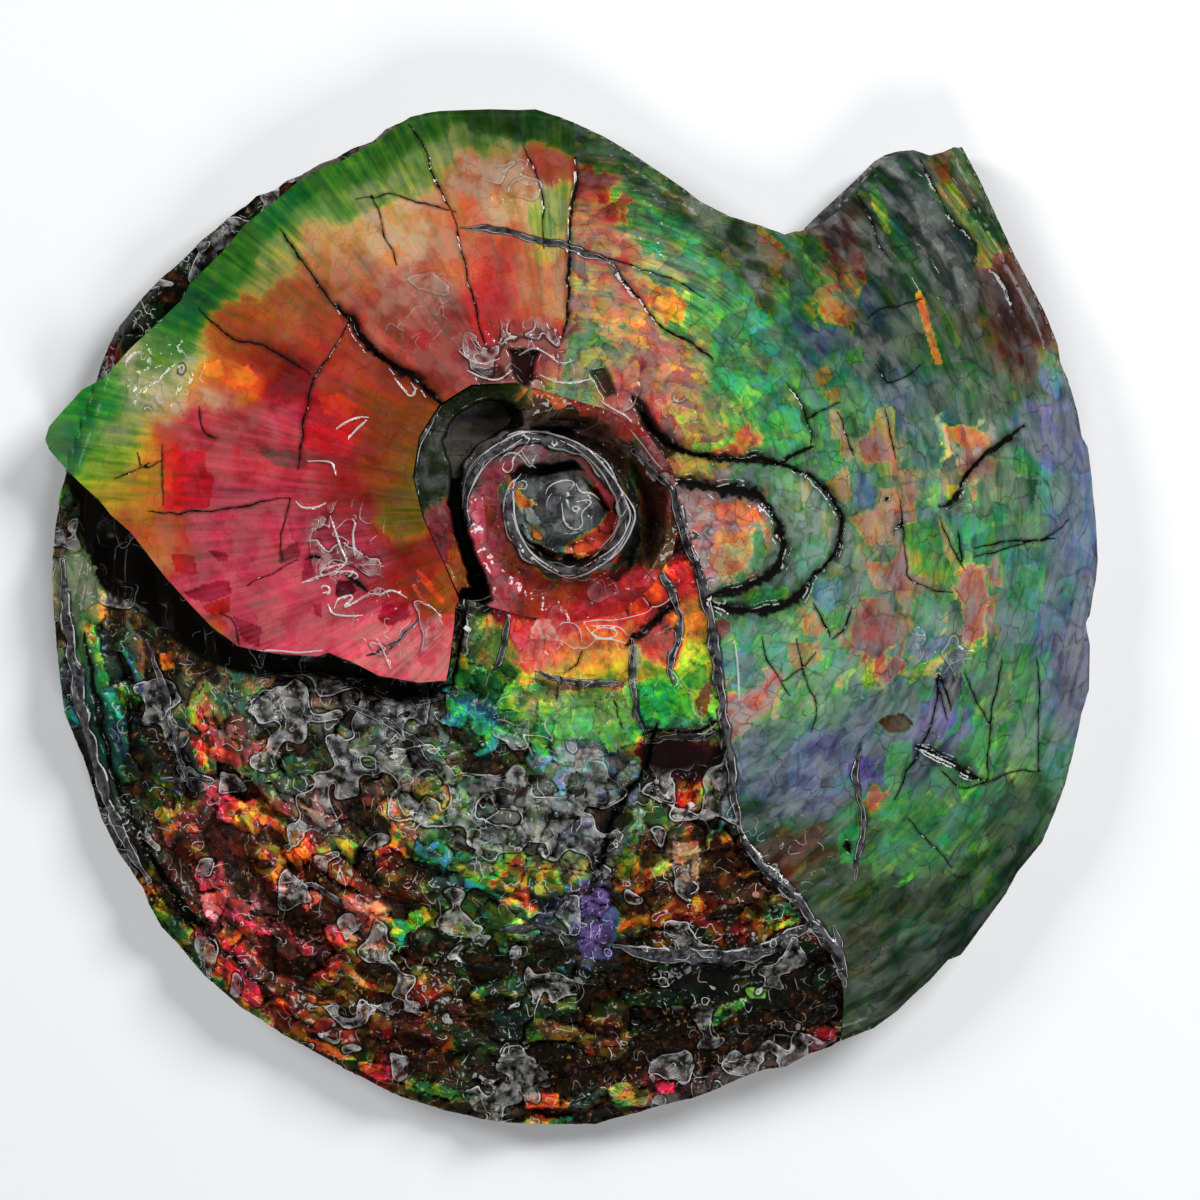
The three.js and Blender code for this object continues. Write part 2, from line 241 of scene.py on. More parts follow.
UPPER_FLANK_PATCHES = patches(
    # Green border from the left tip over the top
    (62, 432, 30, 26, 0, GREEN, 0.62, 0.2), (95, 402, 36, 24, -40, GREEN, 0.85, 0.05),
    (120, 450, 30, 40, 30, LIME, 0.7, 0.1), (125, 500, 26, 26, 30, YELLOW, 0.6, 0.05),
    (150, 480, 26, 50, 20, AMBER, 0.6, 0.08), (135, 530, 20, 26, 35, ORANGE, 0.55, 0.1),
    (165, 345, 34, 20, -40, LEAF, 0.4, 0.1), (200, 300, 40, 22, -45, GREEN, 0.34),
    (240, 255, 46, 24, -42, LEAF, 0.36), (290, 205, 46, 20, -32, GREEN, 0.36),
    (350, 170, 50, 20, -25, LEAF, 0.36), (420, 135, 55, 18, -10, LEAF, 0.24),
    (500, 125, 60, 14, 0, LEAF, 0.09), (560, 135, 40, 14, 15, LEAF, 0.11),
    (610, 155, 34, 12, 28, LEAF, 0.15),
    # Cream and yellow band under the green border
    (165, 375, 42, 34, -20, LIME, 0.6, 0.75), (195, 400, 34, 16, 0, ORANGE, 0.7, 0.7),
    (120, 425, 24, 16, -20, LIME, 0.6, 0.55), (275, 262, 40, 20, -40, LIME, 0.5, 0.3),
    (330, 215, 46, 18, -30, LEAF, 0.5, 0.2), (370, 190, 40, 14, -20, LIME, 0.5, 0.35),
    (430, 165, 40, 20, -10, LIME, 0.48, 0.3), (395, 240, 40, 26, -15, AMBER, 0.75, 0.6),
    (490, 175, 40, 24, 10, ORANGE, 0.43, 0.5), (520, 200, 26, 36, 10, AMBER, 0.7, 0.6),
    (480, 150, 30, 14, 0, LEAF, 0.26, 0.2), (545, 165, 20, 24, 20, VERMILION, 0.34, 0.2),
    (552, 215, 22, 36, 0, LIME, 0.6, 0.35),
    # Orange and tan ground above the heart
    (240, 330, 40, 30, -35, ORANGE, 0.4, 0.06), (225, 375, 40, 24, -15, ORANGE, 0.85),
    (262, 352, 28, 18, 20, VERMILION, 0.31), (300, 305, 40, 40, -40, ORANGE, 0.37, 0.15),
    (330, 250, 34, 28, -40, AMBER, 0.65, 0.4), (355, 280, 30, 30, -40, ORANGE, 0.6, 0.35),
    (380, 320, 34, 40, -45, VERMILION, 0.55, 0.3), (410, 290, 40, 36, -30, VERMILION, 0.5, 0.45, 0.1),
    (440, 330, 40, 34, 0, RED, 0.5, 0.25, 0.15), (450, 250, 26, 40, 5, ORANGE, 0.65, 0.45),
    (500, 300, 34, 40, 0, RED, 0.7, 0.15), (490, 255, 30, 26, 0, VERMILION, 0.65, 0.25),
    (470, 220, 22, 20, 0, ORANGE, 0.7, 0.3), (540, 290, 30, 40, 0, ORANGE, 0.65, 0.4),
    (545, 340, 30, 20, 0, CRIMSON, 0.55, 0.3, 0.1), (490, 355, 40, 16, 0, CRIMSON, 0.5, 0.3, 0.2),
    (330, 345, 34, 24, -30, VERMILION, 0.5, 0.1), (300, 385, 30, 18, 0, RED, 0.34, 0.03, 0.1),
    # Red heart
    (230, 440, 70, 34, 0, CRIMSON, 0.95, 0.22), (300, 470, 60, 50, 0, CRIMSON, 0.85, 0.17),
    (250, 540, 70, 50, 0, ROSE, 0.9, 0.22), (310, 600, 70, 40, 10, ROSE, 1, 0.27),
    (235, 600, 46, 30, 40, ROSE, 0.9, 0.24), (400, 640, 44, 30, 10, ROSE, 1.37, 0.42),
    (360, 560, 46, 46, 0, ROSE, 0.6, 0.15, 0.05), (335, 420, 30, 24, 0, RED, 0.75),
    (385, 440, 34, 60, 10, ORANGE, 0.26, 0.03, 0.05), (400, 510, 26, 50, 10, YELLOW, 0.16, 0, 0.1),
    (405, 580, 26, 34, 20, VERMILION, 0.35, 0, 0.05), (430, 610, 20, 26, 0, ORANGE, 0.39),
    (350, 480, 26, 40, 0, RED, 0.4, 0.05, 0.1), (345, 385, 30, 20, 0, VERMILION, 0.5, 0.15, 0.1),
    (395, 385, 26, 18, 20, VERMILION, 0.4, 0.1, 0.1), (175, 545, 22, 26, 35, ORANGE, 0.6, 0.22),
    (155, 570, 14, 20, 35, ORANGE, 0.65, 0.34), (205, 630, 12, 16, 45, AMBER, 0.6, 0.15),
    # Right part of the upper flank
    (600, 190, 26, 20, 20, VERMILION, 0.22), (590, 220, 22, 24, 0, ORANGE, 0.65, 0.25),
    (615, 262, 30, 20, 25, VERMILION, 0.65, 0.25), (600, 240, 22, 14, 25, AMBER, 0.65, 0.5),
    (640, 215, 24, 18, 35, LEAF, 0.6, 0.1), (670, 235, 30, 16, 30, GREEN, 0.88, 0.12),
    (655, 275, 40, 24, 35, LIME, 0.69, 0.47), (620, 300, 34, 30, 30, AMBER, 0.6, 0.4),
    (600, 345, 34, 30, 20, LIME, 0.5, 0.4, 0.1), (640, 345, 30, 26, 40, ORANGE, 0.69, 0.42, 0.05),
    (665, 310, 22, 18, 40, AMBER, 1.06, 0.17), (700, 300, 30, 24, 30, GREEN, 0.94, 0.27),
    (690, 330, 24, 18, 30, LIME, 0.88, 0.27), (730, 330, 34, 26, 40, GREEN, 1.06, 0.22),
    (680, 380, 36, 34, 30, ORANGE, 0.69, 0.42), (650, 395, 22, 20, 40, VERMILION, 0.62, 0.32, 0.1),
    (715, 370, 30, 30, 30, GREEN, 0.88, 0.22), (730, 420, 36, 26, 0, LIME, 0.88, 0.27),
    (770, 410, 40, 40, 20, GREEN, 1.06, 0.17), (700, 430, 26, 20, 0, AMBER, 0.75, 0.22),
    (790, 440, 24, 18, 0, GREEN, 0.94, 0.27), (740, 448, 18, 12, 0, ORANGE, 0.81, 0.22),
    (775, 355, 26, 30, 45, GREEN, 0.62, 0.17, 0.25),
)

DARK_FLANK_PATCHES = patches(
    (650, 180, 40, 16, 32, LEAF, 0.16, 0, 0.27), (710, 225, 50, 22, 28, LEAF, 0.13, 0, 0.38),
    (755, 260, 34, 30, 40, LIME, 0.1, 0, 0.43), (770, 240, 8, 18, -25, VERMILION, 0.25, 0, 0.21),
    (795, 262, 30, 22, 50, GREEN, 0.34, 0, 0.26), (810, 290, 34, 22, 50, GREEN, 0.33, 0, 0.27),
    (832, 300, 14, 14, 0, ORANGE, 0.26, 0.05, 0.21), (852, 318, 15, 16, 0, VERMILION, 0.41, 0.12, 0.17),
    (855, 265, 10, 34, -18, ORANGE, 0.33, 0, 0.21), (830, 235, 22, 20, 0, VERMILION, 0.1, 0, 0.59),
    (875, 245, 26, 70, -24, LIME, 0.06, 0, 0.41), (905, 195, 30, 46, -30, TEAL, 0.07, 0, 0.57),
    (890, 235, 14, 50, -22, GREEN, 0.2, 0, 0.21), (935, 170, 16, 16, 0, ORANGE, 0.24, 0, 0.18),
    (957, 180, 20, 30, -28, LIME, 0.15, 0, 0.3), (975, 220, 20, 40, -26, LEAF, 0.17, 0, 0.27),
    (990, 262, 16, 20, -20, LIME, 0.29, 0, 0.18), (945, 255, 26, 60, -26, TEAL, 0.07, 0, 0.57),
    (905, 300, 22, 40, -20, LEAF, 0.14, 0, 0.3), (932, 335, 18, 44, -20, LEAF, 0.17, 0, 0.27),
    (880, 300, 24, 24, 0, BLUE, 0.13, 0, 0.57), (870, 350, 34, 26, 20, TEAL, 0.08, 0, 0.48),
    (840, 365, 30, 26, 30, TEAL, 0.31, 0, 0.34), (812, 345, 24, 34, 40, BLUE, 0.2, 0, 0.59),
    (800, 385, 24, 20, 40, GREEN, 0.47, 0.35, 0.34), (1000, 320, 30, 60, -26, VERMILION, 0.03, 0, 0.33),
    (1030, 330, 16, 50, -22, ORANGE, 0.05, 0, 0.3), (985, 340, 20, 34, -20, LEAF, 0.09, 0, 0.33),
    (1035, 372, 20, 20, 0, ORANGE, 0.1, 0.33, 0.21), (1000, 395, 26, 26, 0, LEAF, 0.22, 0.28, 0.44),
    (1050, 420, 20, 60, -10, VIOLET, 0.59, 0.47, 0.38), (1070, 480, 16, 60, -4, INDIGO, 0.49, 0.45, 0.38),
    (1020, 430, 26, 30, 0, BLUE, 0.47, 0.41, 0.41), (975, 385, 26, 22, 0, LEAF, 0.25, 0.28, 0.44),
    (940, 395, 26, 22, 0, TEAL, 0.25, 0.28, 0.47), (900, 395, 30, 26, 0, BLUE, 0.36, 0.35, 0.47),
    (860, 410, 30, 24, 0, GREEN, 0.53, 0.35, 0.3), (880, 440, 26, 20, 0, ORANGE, 0.36, 0.41, 0.34),
    (920, 435, 24, 20, 0, TEAL, 0.41, 0.35, 0.41), (962, 438, 22, 15, 10, ORANGE, 0.87, 0.7, 0.14),
    (950, 492, 12, 12, 0, LIME, 1.01, 0.47, 0.14), (975, 470, 16, 16, 0, ORANGE, 0.53, 0.47, 0.21),
    (1000, 470, 26, 34, 0, GREEN, 0.59, 0.35, 0.34), (1035, 490, 22, 34, 0, TEAL, 0.59, 0.41, 0.34),
    (1060, 540, 22, 40, 0, INDIGO, 0.59, 0.45, 0.38), (1020, 545, 26, 34, 0, GREEN, 0.7, 0.35, 0.27),
    (1050, 600, 24, 40, 0, CYAN, 0.53, 0.41, 0.41), (1062, 660, 18, 50, 4, VIOLET, 0.49, 0.45, 0.41),
    (1015, 600, 26, 30, 0, TEAL, 0.59, 0.41, 0.34), (970, 545, 20, 24, 0, GREEN, 0.76, 0.35, 0.24),
    (930, 530, 26, 30, 0, TEAL, 0.47, 0.35, 0.38), (905, 560, 22, 40, 0, ORANGE, 0.36, 0.47, 0.38),
    (890, 500, 26, 30, 0, AMBER, 0.38, 0.47, 0.38), (855, 470, 26, 24, 0, GREEN, 0.59, 0.35, 0.34),
    (865, 560, 24, 50, 0, LEAF, 0.47, 0.47, 0.38), (972, 605, 16, 34, 10, VERMILION, 0.49, 0.5, 0.22),
    (935, 590, 22, 22, 0, LEAF, 0.47, 0.35, 0.38), (905, 620, 26, 26, 0, AMBER, 0.38, 0.47, 0.34),
    (920, 640, 16, 22, 0, INDIGO, 0.59, 0.54, 0.3), (860, 625, 24, 26, 0, VERMILION, 0.36, 0.47, 0.34),
    (820, 610, 24, 24, 0, LEAF, 0.64, 0.47, 0.27), (922, 668, 14, 12, 0, LIME, 0.95, 0.47, 0.14),
    (866, 672, 10, 18, 0, LIME, 1.01, 0.54, 0.14), (890, 655, 12, 12, 0, VERMILION, 0.59, 0.35, 0.14),
    (1015, 680, 26, 30, 0, GREEN, 0.7, 0.35, 0.27), (975, 690, 22, 40, 0, GREEN, 0.7, 0.35, 0.24),
    (1040, 730, 24, 40, 8, TEAL, 0.56, 0.41, 0.38), (990, 750, 30, 30, 0, GREEN, 0.64, 0.35, 0.27),
    (1060, 775, 12, 30, 14, GREEN, 0.47, 0.35, 0.34), (935, 715, 22, 20, 0, VIOLET, 0.59, 0.47, 0.27),
    (895, 705, 26, 22, 0, TEAL, 0.41, 0.47, 0.41), (850, 720, 30, 24, 0, BLUE, 0.41, 0.47, 0.41),
    (860, 766, 17, 14, 20, VIOLET, 0.74, 0.45, 0.17), (815, 700, 26, 26, 0, LEAF, 0.59, 0.5, 0.3),
    (800, 650, 30, 26, 0, GREEN, 0.95, 0.54, 0.14), (770, 690, 26, 30, 0, ORANGE, 0.64, 0.66, 0.21),
    (762, 640, 24, 24, 0, GREEN, 0.95, 0.47, 0.14), (745, 665, 18, 16, 0, CYAN, 0.82, 0.47, 0.14),
    (800, 690, 20, 20, 0, GREEN, 0.82, 0.47, 0.14), (740, 710, 14, 26, 0, ORANGE, 0.59, 0.66, 0.27),
    (780, 735, 30, 20, 0, GREEN, 0.59, 0.47, 0.3), (820, 750, 26, 22, 0, INDIGO, 0.59, 0.47, 0.34),
    (760, 765, 30, 20, 0, BLUE, 0.41, 0.47, 0.41), (800, 795, 36, 26, 0, INDIGO, 0.33, 0.38, 0.47),
    (762, 815, 20, 20, 0, TEAL, 0.18, 0.1, 0.42), (800, 840, 26, 26, 0, AMBER, 0.07, 0.05, 0.22),
    (830, 880, 26, 30, 0, LEAF, 0.1, 0.05, 0.35), (780, 870, 22, 20, 0, ORANGE, 0.08, 0, 0.12),
    (870, 830, 18, 36, 0, LEAF, 0.12, 0, 0.35), (846, 815, 16, 34, 0, GREEN, 0.56, 0.28, 0.21),
    (875, 800, 14, 16, 0, VERMILION, 0.46, 0.28, 0.21), (930, 820, 50, 36, 0, GREEN, 0.61, 0.28, 0.17),
    (900, 860, 40, 26, 10, GREEN, 0.51, 0.28, 0.21), (960, 790, 34, 20, 10, GREEN, 0.51, 0.28, 0.21),
    (905, 760, 24, 26, 0, BLUE, 0.2, 0.28, 0.47), (1020, 810, 34, 40, 20, GREEN, 0.16, 0, 0.26),
    (975, 870, 40, 30, 30, GREEN, 0.18, 0, 0.26), (925, 905, 40, 26, 20, GREEN, 0.13, 0, 0.3),
    (870, 900, 26, 26, 0, LEAF, 0.11, 0, 0.34), (860, 960, 40, 40, 0, LEAF, 0.07, 0, 0.3),
    (930, 960, 50, 30, -30, GREEN, 0.04, 0, 0.24), (1030, 880, 30, 40, 30, GREEN, 0.05, 0, 0.21),
    # Inside the two loops
    (722, 520, 20, 26, -20, VERMILION, 0.87, 0.7), (745, 515, 16, 22, -20, ORANGE, 0.82, 0.7),
    (750, 550, 24, 20, 0, LEAF, 0.7, 0.7, 0.04), (712, 560, 16, 20, 0, VERMILION, 0.82, 0.7),
    (735, 570, 20, 12, 0, AMBER, 0.7, 0.7), (765, 478, 24, 12, 10, GREEN, 0.59, 0.54, 0.16),
    (800, 520, 20, 34, 0, LEAF, 0.64, 0.6, 0.2), (790, 570, 20, 16, 0, GREEN, 0.7, 0.54, 0.12),
    (748, 600, 20, 10, -15, GREEN, 0.82, 0.41), (830, 480, 20, 20, 0, TEAL, 0.53, 0.41, 0.24),
)

WHORL_PATCHES = patches(
    # Red to green fan below the umbilicus
    (490, 640, 12, 34, 10, LIME, 0.6, 0.25, 0.1), (475, 620, 14, 18, 0, LIME, 0.6, 0.3, 0.1),
    (500, 605, 14, 24, 0, CRIMSON, 0.8, 0.1), (530, 615, 34, 16, 20, VERMILION, 0.62, 0.11),
    (550, 630, 34, 18, 10, CRIMSON, 1.06, 0.31), (590, 608, 36, 14, 0, RED, 1.1, 0.2),
    (640, 592, 34, 16, -15, VERMILION, 1.06, 0.06), (670, 575, 20, 24, 0, RED, 0.85, 0.1),
    (610, 635, 36, 14, 0, ORANGE, 0.94, 0.21), (560, 655, 34, 14, 0, VERMILION, 1.06, 0.41),
    (600, 660, 34, 12, 0, AMBER, 1, 0.26), (550, 675, 34, 8, 0, YELLOW, 0.88, 0.21),
    (620, 672, 26, 10, 0, YELLOW, 1, 0.11), (655, 640, 20, 20, 0, RED, 0.94, 0.31),
    (690, 625, 14, 24, 0, AMBER, 1, 0.16), (650, 668, 20, 12, 0, LIME, 1, 0.16),
    (695, 660, 14, 20, 0, LIME, 1.12, 0.11), (660, 700, 24, 26, 0, GREEN, 1.19, 0.06),
    (700, 695, 14, 24, 0, LEAF, 0.88, 0.16), (610, 705, 24, 18, 0, LEAF, 0.94, 0.34),
    (580, 720, 34, 16, 0, GREEN, 1.06, 0.3), (540, 700, 34, 14, 0, LIME, 0.88, 0.36),
    (610, 735, 26, 14, 0, GREEN, 1, 0.25), (500, 690, 30, 20, 0, GREEN, 0.7, 0.05),
    (480, 720, 26, 18, 0, CYAN, 0.6, 0.05, 0.05), (520, 735, 26, 16, 0, GREEN, 0.75, 0.11, 0.1),
    (455, 740, 24, 18, 0, GREEN, 0.65, 0.1), (585, 760, 26, 18, 0, BLUE, 1.5, 0.6, 0.1),
    (610, 775, 20, 12, 0, CYAN, 1.2, 0.4, 0.1), (560, 780, 20, 12, 0, TEAL, 1.1, 0.4, 0.2),
    (665, 722, 20, 10, 0, TEAL, 0.75, 0.16, 0.1), (700, 730, 16, 12, 0, GREEN, 0.75, 0.21, 0.1),
    # Grey crumpled ground under the broken edge
    (400, 740, 60, 34, 0, TEAL, 0.42, 0.4, 0.69), (350, 720, 40, 26, 0, AMBER, 0.2, 0.3, 0.8),
    (300, 720, 50, 26, 0, LIME, 0.4, 0.35, 0.57), (240, 700, 30, 14, 20, LEAF, 0.35, 0.25, 0.35),
    (280, 760, 40, 20, 20, TEAL, 0.25, 0.1, 0.5), (440, 790, 50, 24, 0, LIME, 0.5, 0.4, 0.46),
    (540, 800, 60, 24, 0, TEAL, 0.4, 0.4, 0.75), (575, 825, 44, 14, 0, INDIGO, 0.25, 0.25, 0.75),
    (500, 830, 50, 20, 0, GREEN, 0.55, 0.35, 0.52), (425, 805, 34, 14, 20, YELLOW, 0.55, 0.15, 0.15),
    (350, 800, 34, 24, 20, ORANGE, 0.35, 0.22, 0.4), (375, 830, 24, 14, 20, AMBER, 0.45, 0.1, 0.2),
    # Reds of the left side
    (215, 735, 26, 18, 40, VERMILION, 0.45, 0.15, 0.1), (255, 745, 26, 14, 20, RED, 0.36, 0.2, 0.2),
    (175, 690, 14, 40, -25, YELLOW, 0.36, 0.2, 0.2), (150, 645, 12, 20, -30, ORANGE, 0.5, 0.2, 0.2),
    (160, 660, 12, 16, 0, AMBER, 0.6, 0.1, 0.05), (110, 620, 24, 16, 0, LIME, 0.3, 0.25, 0.35),
    (110, 660, 22, 24, 0, TEAL, 0.45, 0.1, 0.3), (118, 720, 18, 34, -15, TEAL, 0.24, 0, 0.07),
    (150, 770, 12, 24, -25, GREEN, 0.39, 0.2, 0.07), (150, 750, 14, 24, -20, LEAF, 0.21, 0.2, 0.35),
    (175, 745, 14, 40, -25, VIOLET, 0.07, 0.1, 0.52), (165, 800, 12, 14, 0, AMBER, 0.49, 0.05),
    (180, 850, 22, 16, 40, VERMILION, 0.48, 0.15, 0.07), (200, 880, 20, 22, 40, ROSE, 0.56, 0.2, 0.03),
    (215, 910, 22, 22, 40, CRIMSON, 0.6, 0.2), (225, 805, 24, 20, 40, CRIMSON, 0.45, 0.15, 0.2),
    (260, 830, 34, 20, 30, ORANGE, 0.6, 0.2, 0.1), (290, 860, 34, 18, 20, ORANGE, 0.48, 0.05, 0.03),
    (270, 895, 24, 14, 20, CRIMSON, 0.44, 0.2, 0.07), (305, 905, 16, 14, 0, VERMILION, 0.64, 0.15),
    (340, 870, 30, 16, 20, YELLOW, 0.35, 0.05, 0.1), (366, 908, 24, 12, 15, VERMILION, 0.85, 0.25),
    (415, 915, 14, 14, 0, LIME, 0.85, 0.1), (385, 880, 30, 16, 20, ORANGE, 0.3, 0.05, 0.1),
    (245, 950, 26, 18, 40, VERMILION, 0.36, 0.1), (285, 960, 34, 18, 30, RED, 0.35, 0.1),
    (320, 990, 34, 16, 25, ORANGE, 0.26, 0.05), (250, 1000, 14, 8, 40, LIME, 0.42, 0.1),
    (370, 1000, 34, 16, 20, ORANGE, 0.21, 0.05, 0.03), (450, 985, 40, 16, 10, AMBER, 0.17, 0.05, 0.07),
    # Greens and blues of the middle
    (460, 880, 34, 24, 10, GREEN, 0.7, 0.12, 0.15), (500, 910, 26, 24, 30, GREEN, 0.6, 0.1, 0.15),
    (440, 925, 30, 16, 20, LEAF, 0.65, 0.15, 0.25), (470, 950, 30, 18, 20, GREEN, 0.32, 0.1, 0.14),
    (575, 860, 14, 12, 0, LIME, 0.6, 0.45, 0.1), (540, 870, 24, 20, 0, AMBER, 0.18, 0.05, 0.2),
    (550, 930, 26, 16, 0, TEAL, 0.2, 0.15, 0.5), (600, 900, 14, 26, 0, VIOLET, 0.55, 0.2, 0.15),
    (595, 945, 22, 22, 0, VIOLET, 0.39, 0.2, 0.1),
    # Brown pocket field left of the seam
    (670, 755, 34, 22, 0, CRIMSON, 0.04, 0, 0.02), (690, 800, 30, 20, 0, VERMILION, 0.3),
    (650, 820, 26, 20, 0, YELLOW, 0.19, 0.1, 0.25), (640, 860, 26, 24, 0, AMBER, 0.21, 0.05),
    (625, 905, 14, 30, 0, AMBER, 0.4, 0.05), (688, 858, 16, 24, 0, ORANGE, 0.51, 0.45),
    (720, 860, 24, 24, 0, VERMILION, 0.1, 0.02, 0.05), (680, 910, 40, 24, 0, ORANGE, 0.14, 0.02, 0.05),
    (740, 890, 26, 26, 0, AMBER, 0.17, 0.05, 0.1), (725, 800, 14, 30, 0, TEAL, 0.21, 0.1, 0.35),
    (785, 921, 22, 5, -30, GREEN, 0.68, 0.1), (740, 935, 40, 10, 0, VERMILION, 0.07),
    # Black lower band and its slivers
    (700, 1000, 110, 34, 0, LEAF, 0.02, 0, 0.03), (560, 1000, 70, 34, 0, LEAF, 0.08, 0.05, 0.14),
    (590, 1040, 34, 24, 0, ORANGE, 0.1, 0.02, 0.07), (725, 1012, 24, 7, -30, GREEN, 0.35, 0.1, 0.07),
    (758, 991, 12, 6, 0, GREEN, 0.39, 0.25, 0.07), (680, 1030, 40, 12, 0, CRIMSON, 0.1, 0.02, 0.03),
    # Chips along the lower rim
    (80, 590, 22, 34, -6, LEAF, 0.5, 0.3, 0.3), (66, 585, 8, 30, 0, AMBER, 0.5, 0.2, 0.15),
    (120, 830, 10, 30, -28, TEAL, 0.17, 0.2, 0.35), (145, 885, 10, 14, -30, ORANGE, 0.6, 0.05),
    (165, 925, 14, 20, -30, GREEN, 0.12, 0, 0.1), (200, 965, 14, 20, -40, GREEN, 0.08, 0, 0.07),
    (310, 1045, 26, 8, 30, ORANGE, 0.49, 0.05), (340, 1058, 20, 8, 25, YELLOW, 0.42, 0.05),
    (378, 1072, 22, 10, 20, VERMILION, 0.52, 0.05), (440, 1092, 34, 9, 12, LEAF, 0.32, 0.15, 0.1),
    (410, 1050, 20, 14, 0, VERMILION, 0.35, 0.05), (495, 1106, 26, 9, 5, LEAF, 0.14, 0.2, 0.35),
    (540, 1104, 20, 9, 0, VERMILION, 0.52, 0.05), (590, 1100, 24, 12, 0, GREEN, 0.1, 0.05, 0.14),
    (632, 1098, 22, 8, -10, LIME, 0.39, 0.15), (664, 1088, 14, 8, -15, RED, 0.45, 0.1),
    (740, 1066, 60, 12, -18, CRIMSON, 0.07, 0.15, 0.39),
    (770, 1058, 22, 5, -18, VERMILION, 0.35, 0.1, 0.07),
    (821, 1036, 14, 10, -20, CRIMSON, 0.24, 0.05, 0.03),
)

COIL_PATCHES = patches(
    (500, 500, 14, 30, 10, CRIMSON, 0.5, 0.2, 0.1), (484, 530, 8, 30, -10, ROSE, 0.8, 0.3),
    (495, 575, 10, 26, -20, CRIMSON, 0.8, 0.3), (500, 590, 14, 16, -20, CRIMSON, 0.8, 0.3),
    (505, 545, 10, 26, -15, ORANGE, 0.28, 0.1), (525, 575, 20, 20, 20, VERMILION, 0.3),
    (560, 590, 30, 12, 0, VERMILION, 0.34), (600, 590, 30, 10, 0, RED, 0.35),
    (580, 606, 30, 8, 0, RED, 0.8), (640, 580, 26, 16, -15, RED, 0.85, 0.1),
    (655, 545, 20, 30, 0, AMBER, 0.14, 0, 0.05), (640, 490, 26, 40, 0, ORANGE, 0.16, 0, 0.05),
    (600, 440, 40, 14, 30, ORANGE, 0.06, 0, 0.1), (555, 420, 30, 10, 10, AMBER, 0.07, 0, 0.1),
    (490, 440, 24, 20, 0, CRIMSON, 0.08, 0.2, 0.6), (530, 446, 24, 10, 0, CRIMSON, 0.25, 0.3, 0.5),
    (470, 475, 12, 24, 0, CRIMSON, 0.05, 0.2, 0.65), (590, 404, 26, 8, 10, VERMILION, 0.8, 0.2, 0.05),
    (560, 400, 16, 8, 10, ORANGE, 0.7, 0.1, 0.05), (640, 425, 14, 10, 40, RED, 0.9, 0.2, 0.05),
    (655, 455, 12, 16, 40, CRIMSON, 0.7, 0.4, 0.2), (676, 490, 10, 16, 40, CRIMSON, 0.6, 0.4, 0.2),
    (684, 540, 12, 30, -10, RED, 0.7, 0.3, 0.05), (470, 396, 34, 10, 0, LIME, 0.07, 0.02, 0.15),
    (438, 520, 8, 16, 0, CRIMSON, 0.6, 0.2, 0.2), (452, 550, 6, 20, -20, ORANGE, 0.7, 0.1, 0.1),
    (436, 470, 10, 30, 0, LIME, 0.05, 0.02, 0.4), (590, 544, 18, 9, 0, VERMILION, 0.9, 0.15),
    (606, 493, 8, 10, 0, CRIMSON, 0.8, 0.1), (606, 528, 8, 8, 0, RED, 0.9, 0.1),
    (528, 500, 7, 8, 0, ORANGE, 0.8, 0.1), (526, 518, 8, 12, 0, YELLOW, 0.5, 0.7, 0.1),
    (545, 455, 20, 8, 0, CRIMSON, 0.4, 0.5, 0.3), (585, 460, 20, 10, 40, CRIMSON, 0.55, 0.3, 0.15),
    (568, 507, 22, 26, 0, VIOLET, 0.08, 0.12, 0.8), (632, 512, 8, 50, 0, VIOLET, 0.05, 0.05, 0.8),
    (512, 520, 6, 30, 0, VIOLET, 0.05, 0.05, 0.8), (568, 572, 40, 6, 0, VIOLET, 0.05, 0.05, 0.8),
)

# Dark and crumpled places
WHORL_WEAR: tuple[Wear, ...] = (
    Wear(580, 640, 110, 50, 0, whole=1.0),
    Wear(640, 600, 60, 30, -10, whole=1.0),
    Wear(600, 715, 100, 34, 0, whole=0.75),
    Wear(490, 680, 40, 60, 0, whole=0.55),
    Wear(680, 650, 50, 90, 0, whole=0.9),
    Wear(570, 770, 50, 20, 0, whole=0.4),
    Wear(672, 750, 40, 22, 0, whole=1.0),
    Wear(76, 590, 26, 44, 0, whole=1.0),
    Wear(95, 720, 16, 110, -12, whole=1.0),
)
FLANK_WEAR: tuple[Wear, ...] = (
    Wear(165, 375, 46, 38, -20, crush=0.8),
    Wear(350, 545, 46, 46, 10, crush=0.7),
    Wear(400, 620, 50, 50, 0, crush=0.6),
    Wear(430, 310, 60, 50, -20, crush=0.45),
    Wear(520, 360, 70, 40, 0, crush=0.8),
    Wear(520, 190, 40, 40, 0, crush=0.5),
    Wear(660, 420, 50, 40, 30, crush=0.6),
    Wear(640, 250, 120, 90, 30, streak=0.9),
    Wear(560, 230, 60, 90, 0, streak=0.6),
    Wear(910, 240, 110, 110, -25, streak=1.0),
    Wear(450, 210, 60, 70, 0, streak=0.4),
    Wear(690, 560, 26, 60, 0, crush=0.9),
    Wear(800, 500, 50, 60, 0, crush=0.3),
    Wear(780, 850, 60, 50, 0, crush=0.5),
    Wear(960, 490, 26, 40, 0, crush=0.4),
    Wear(940, 650, 40, 40, 0, crush=0.5),
)

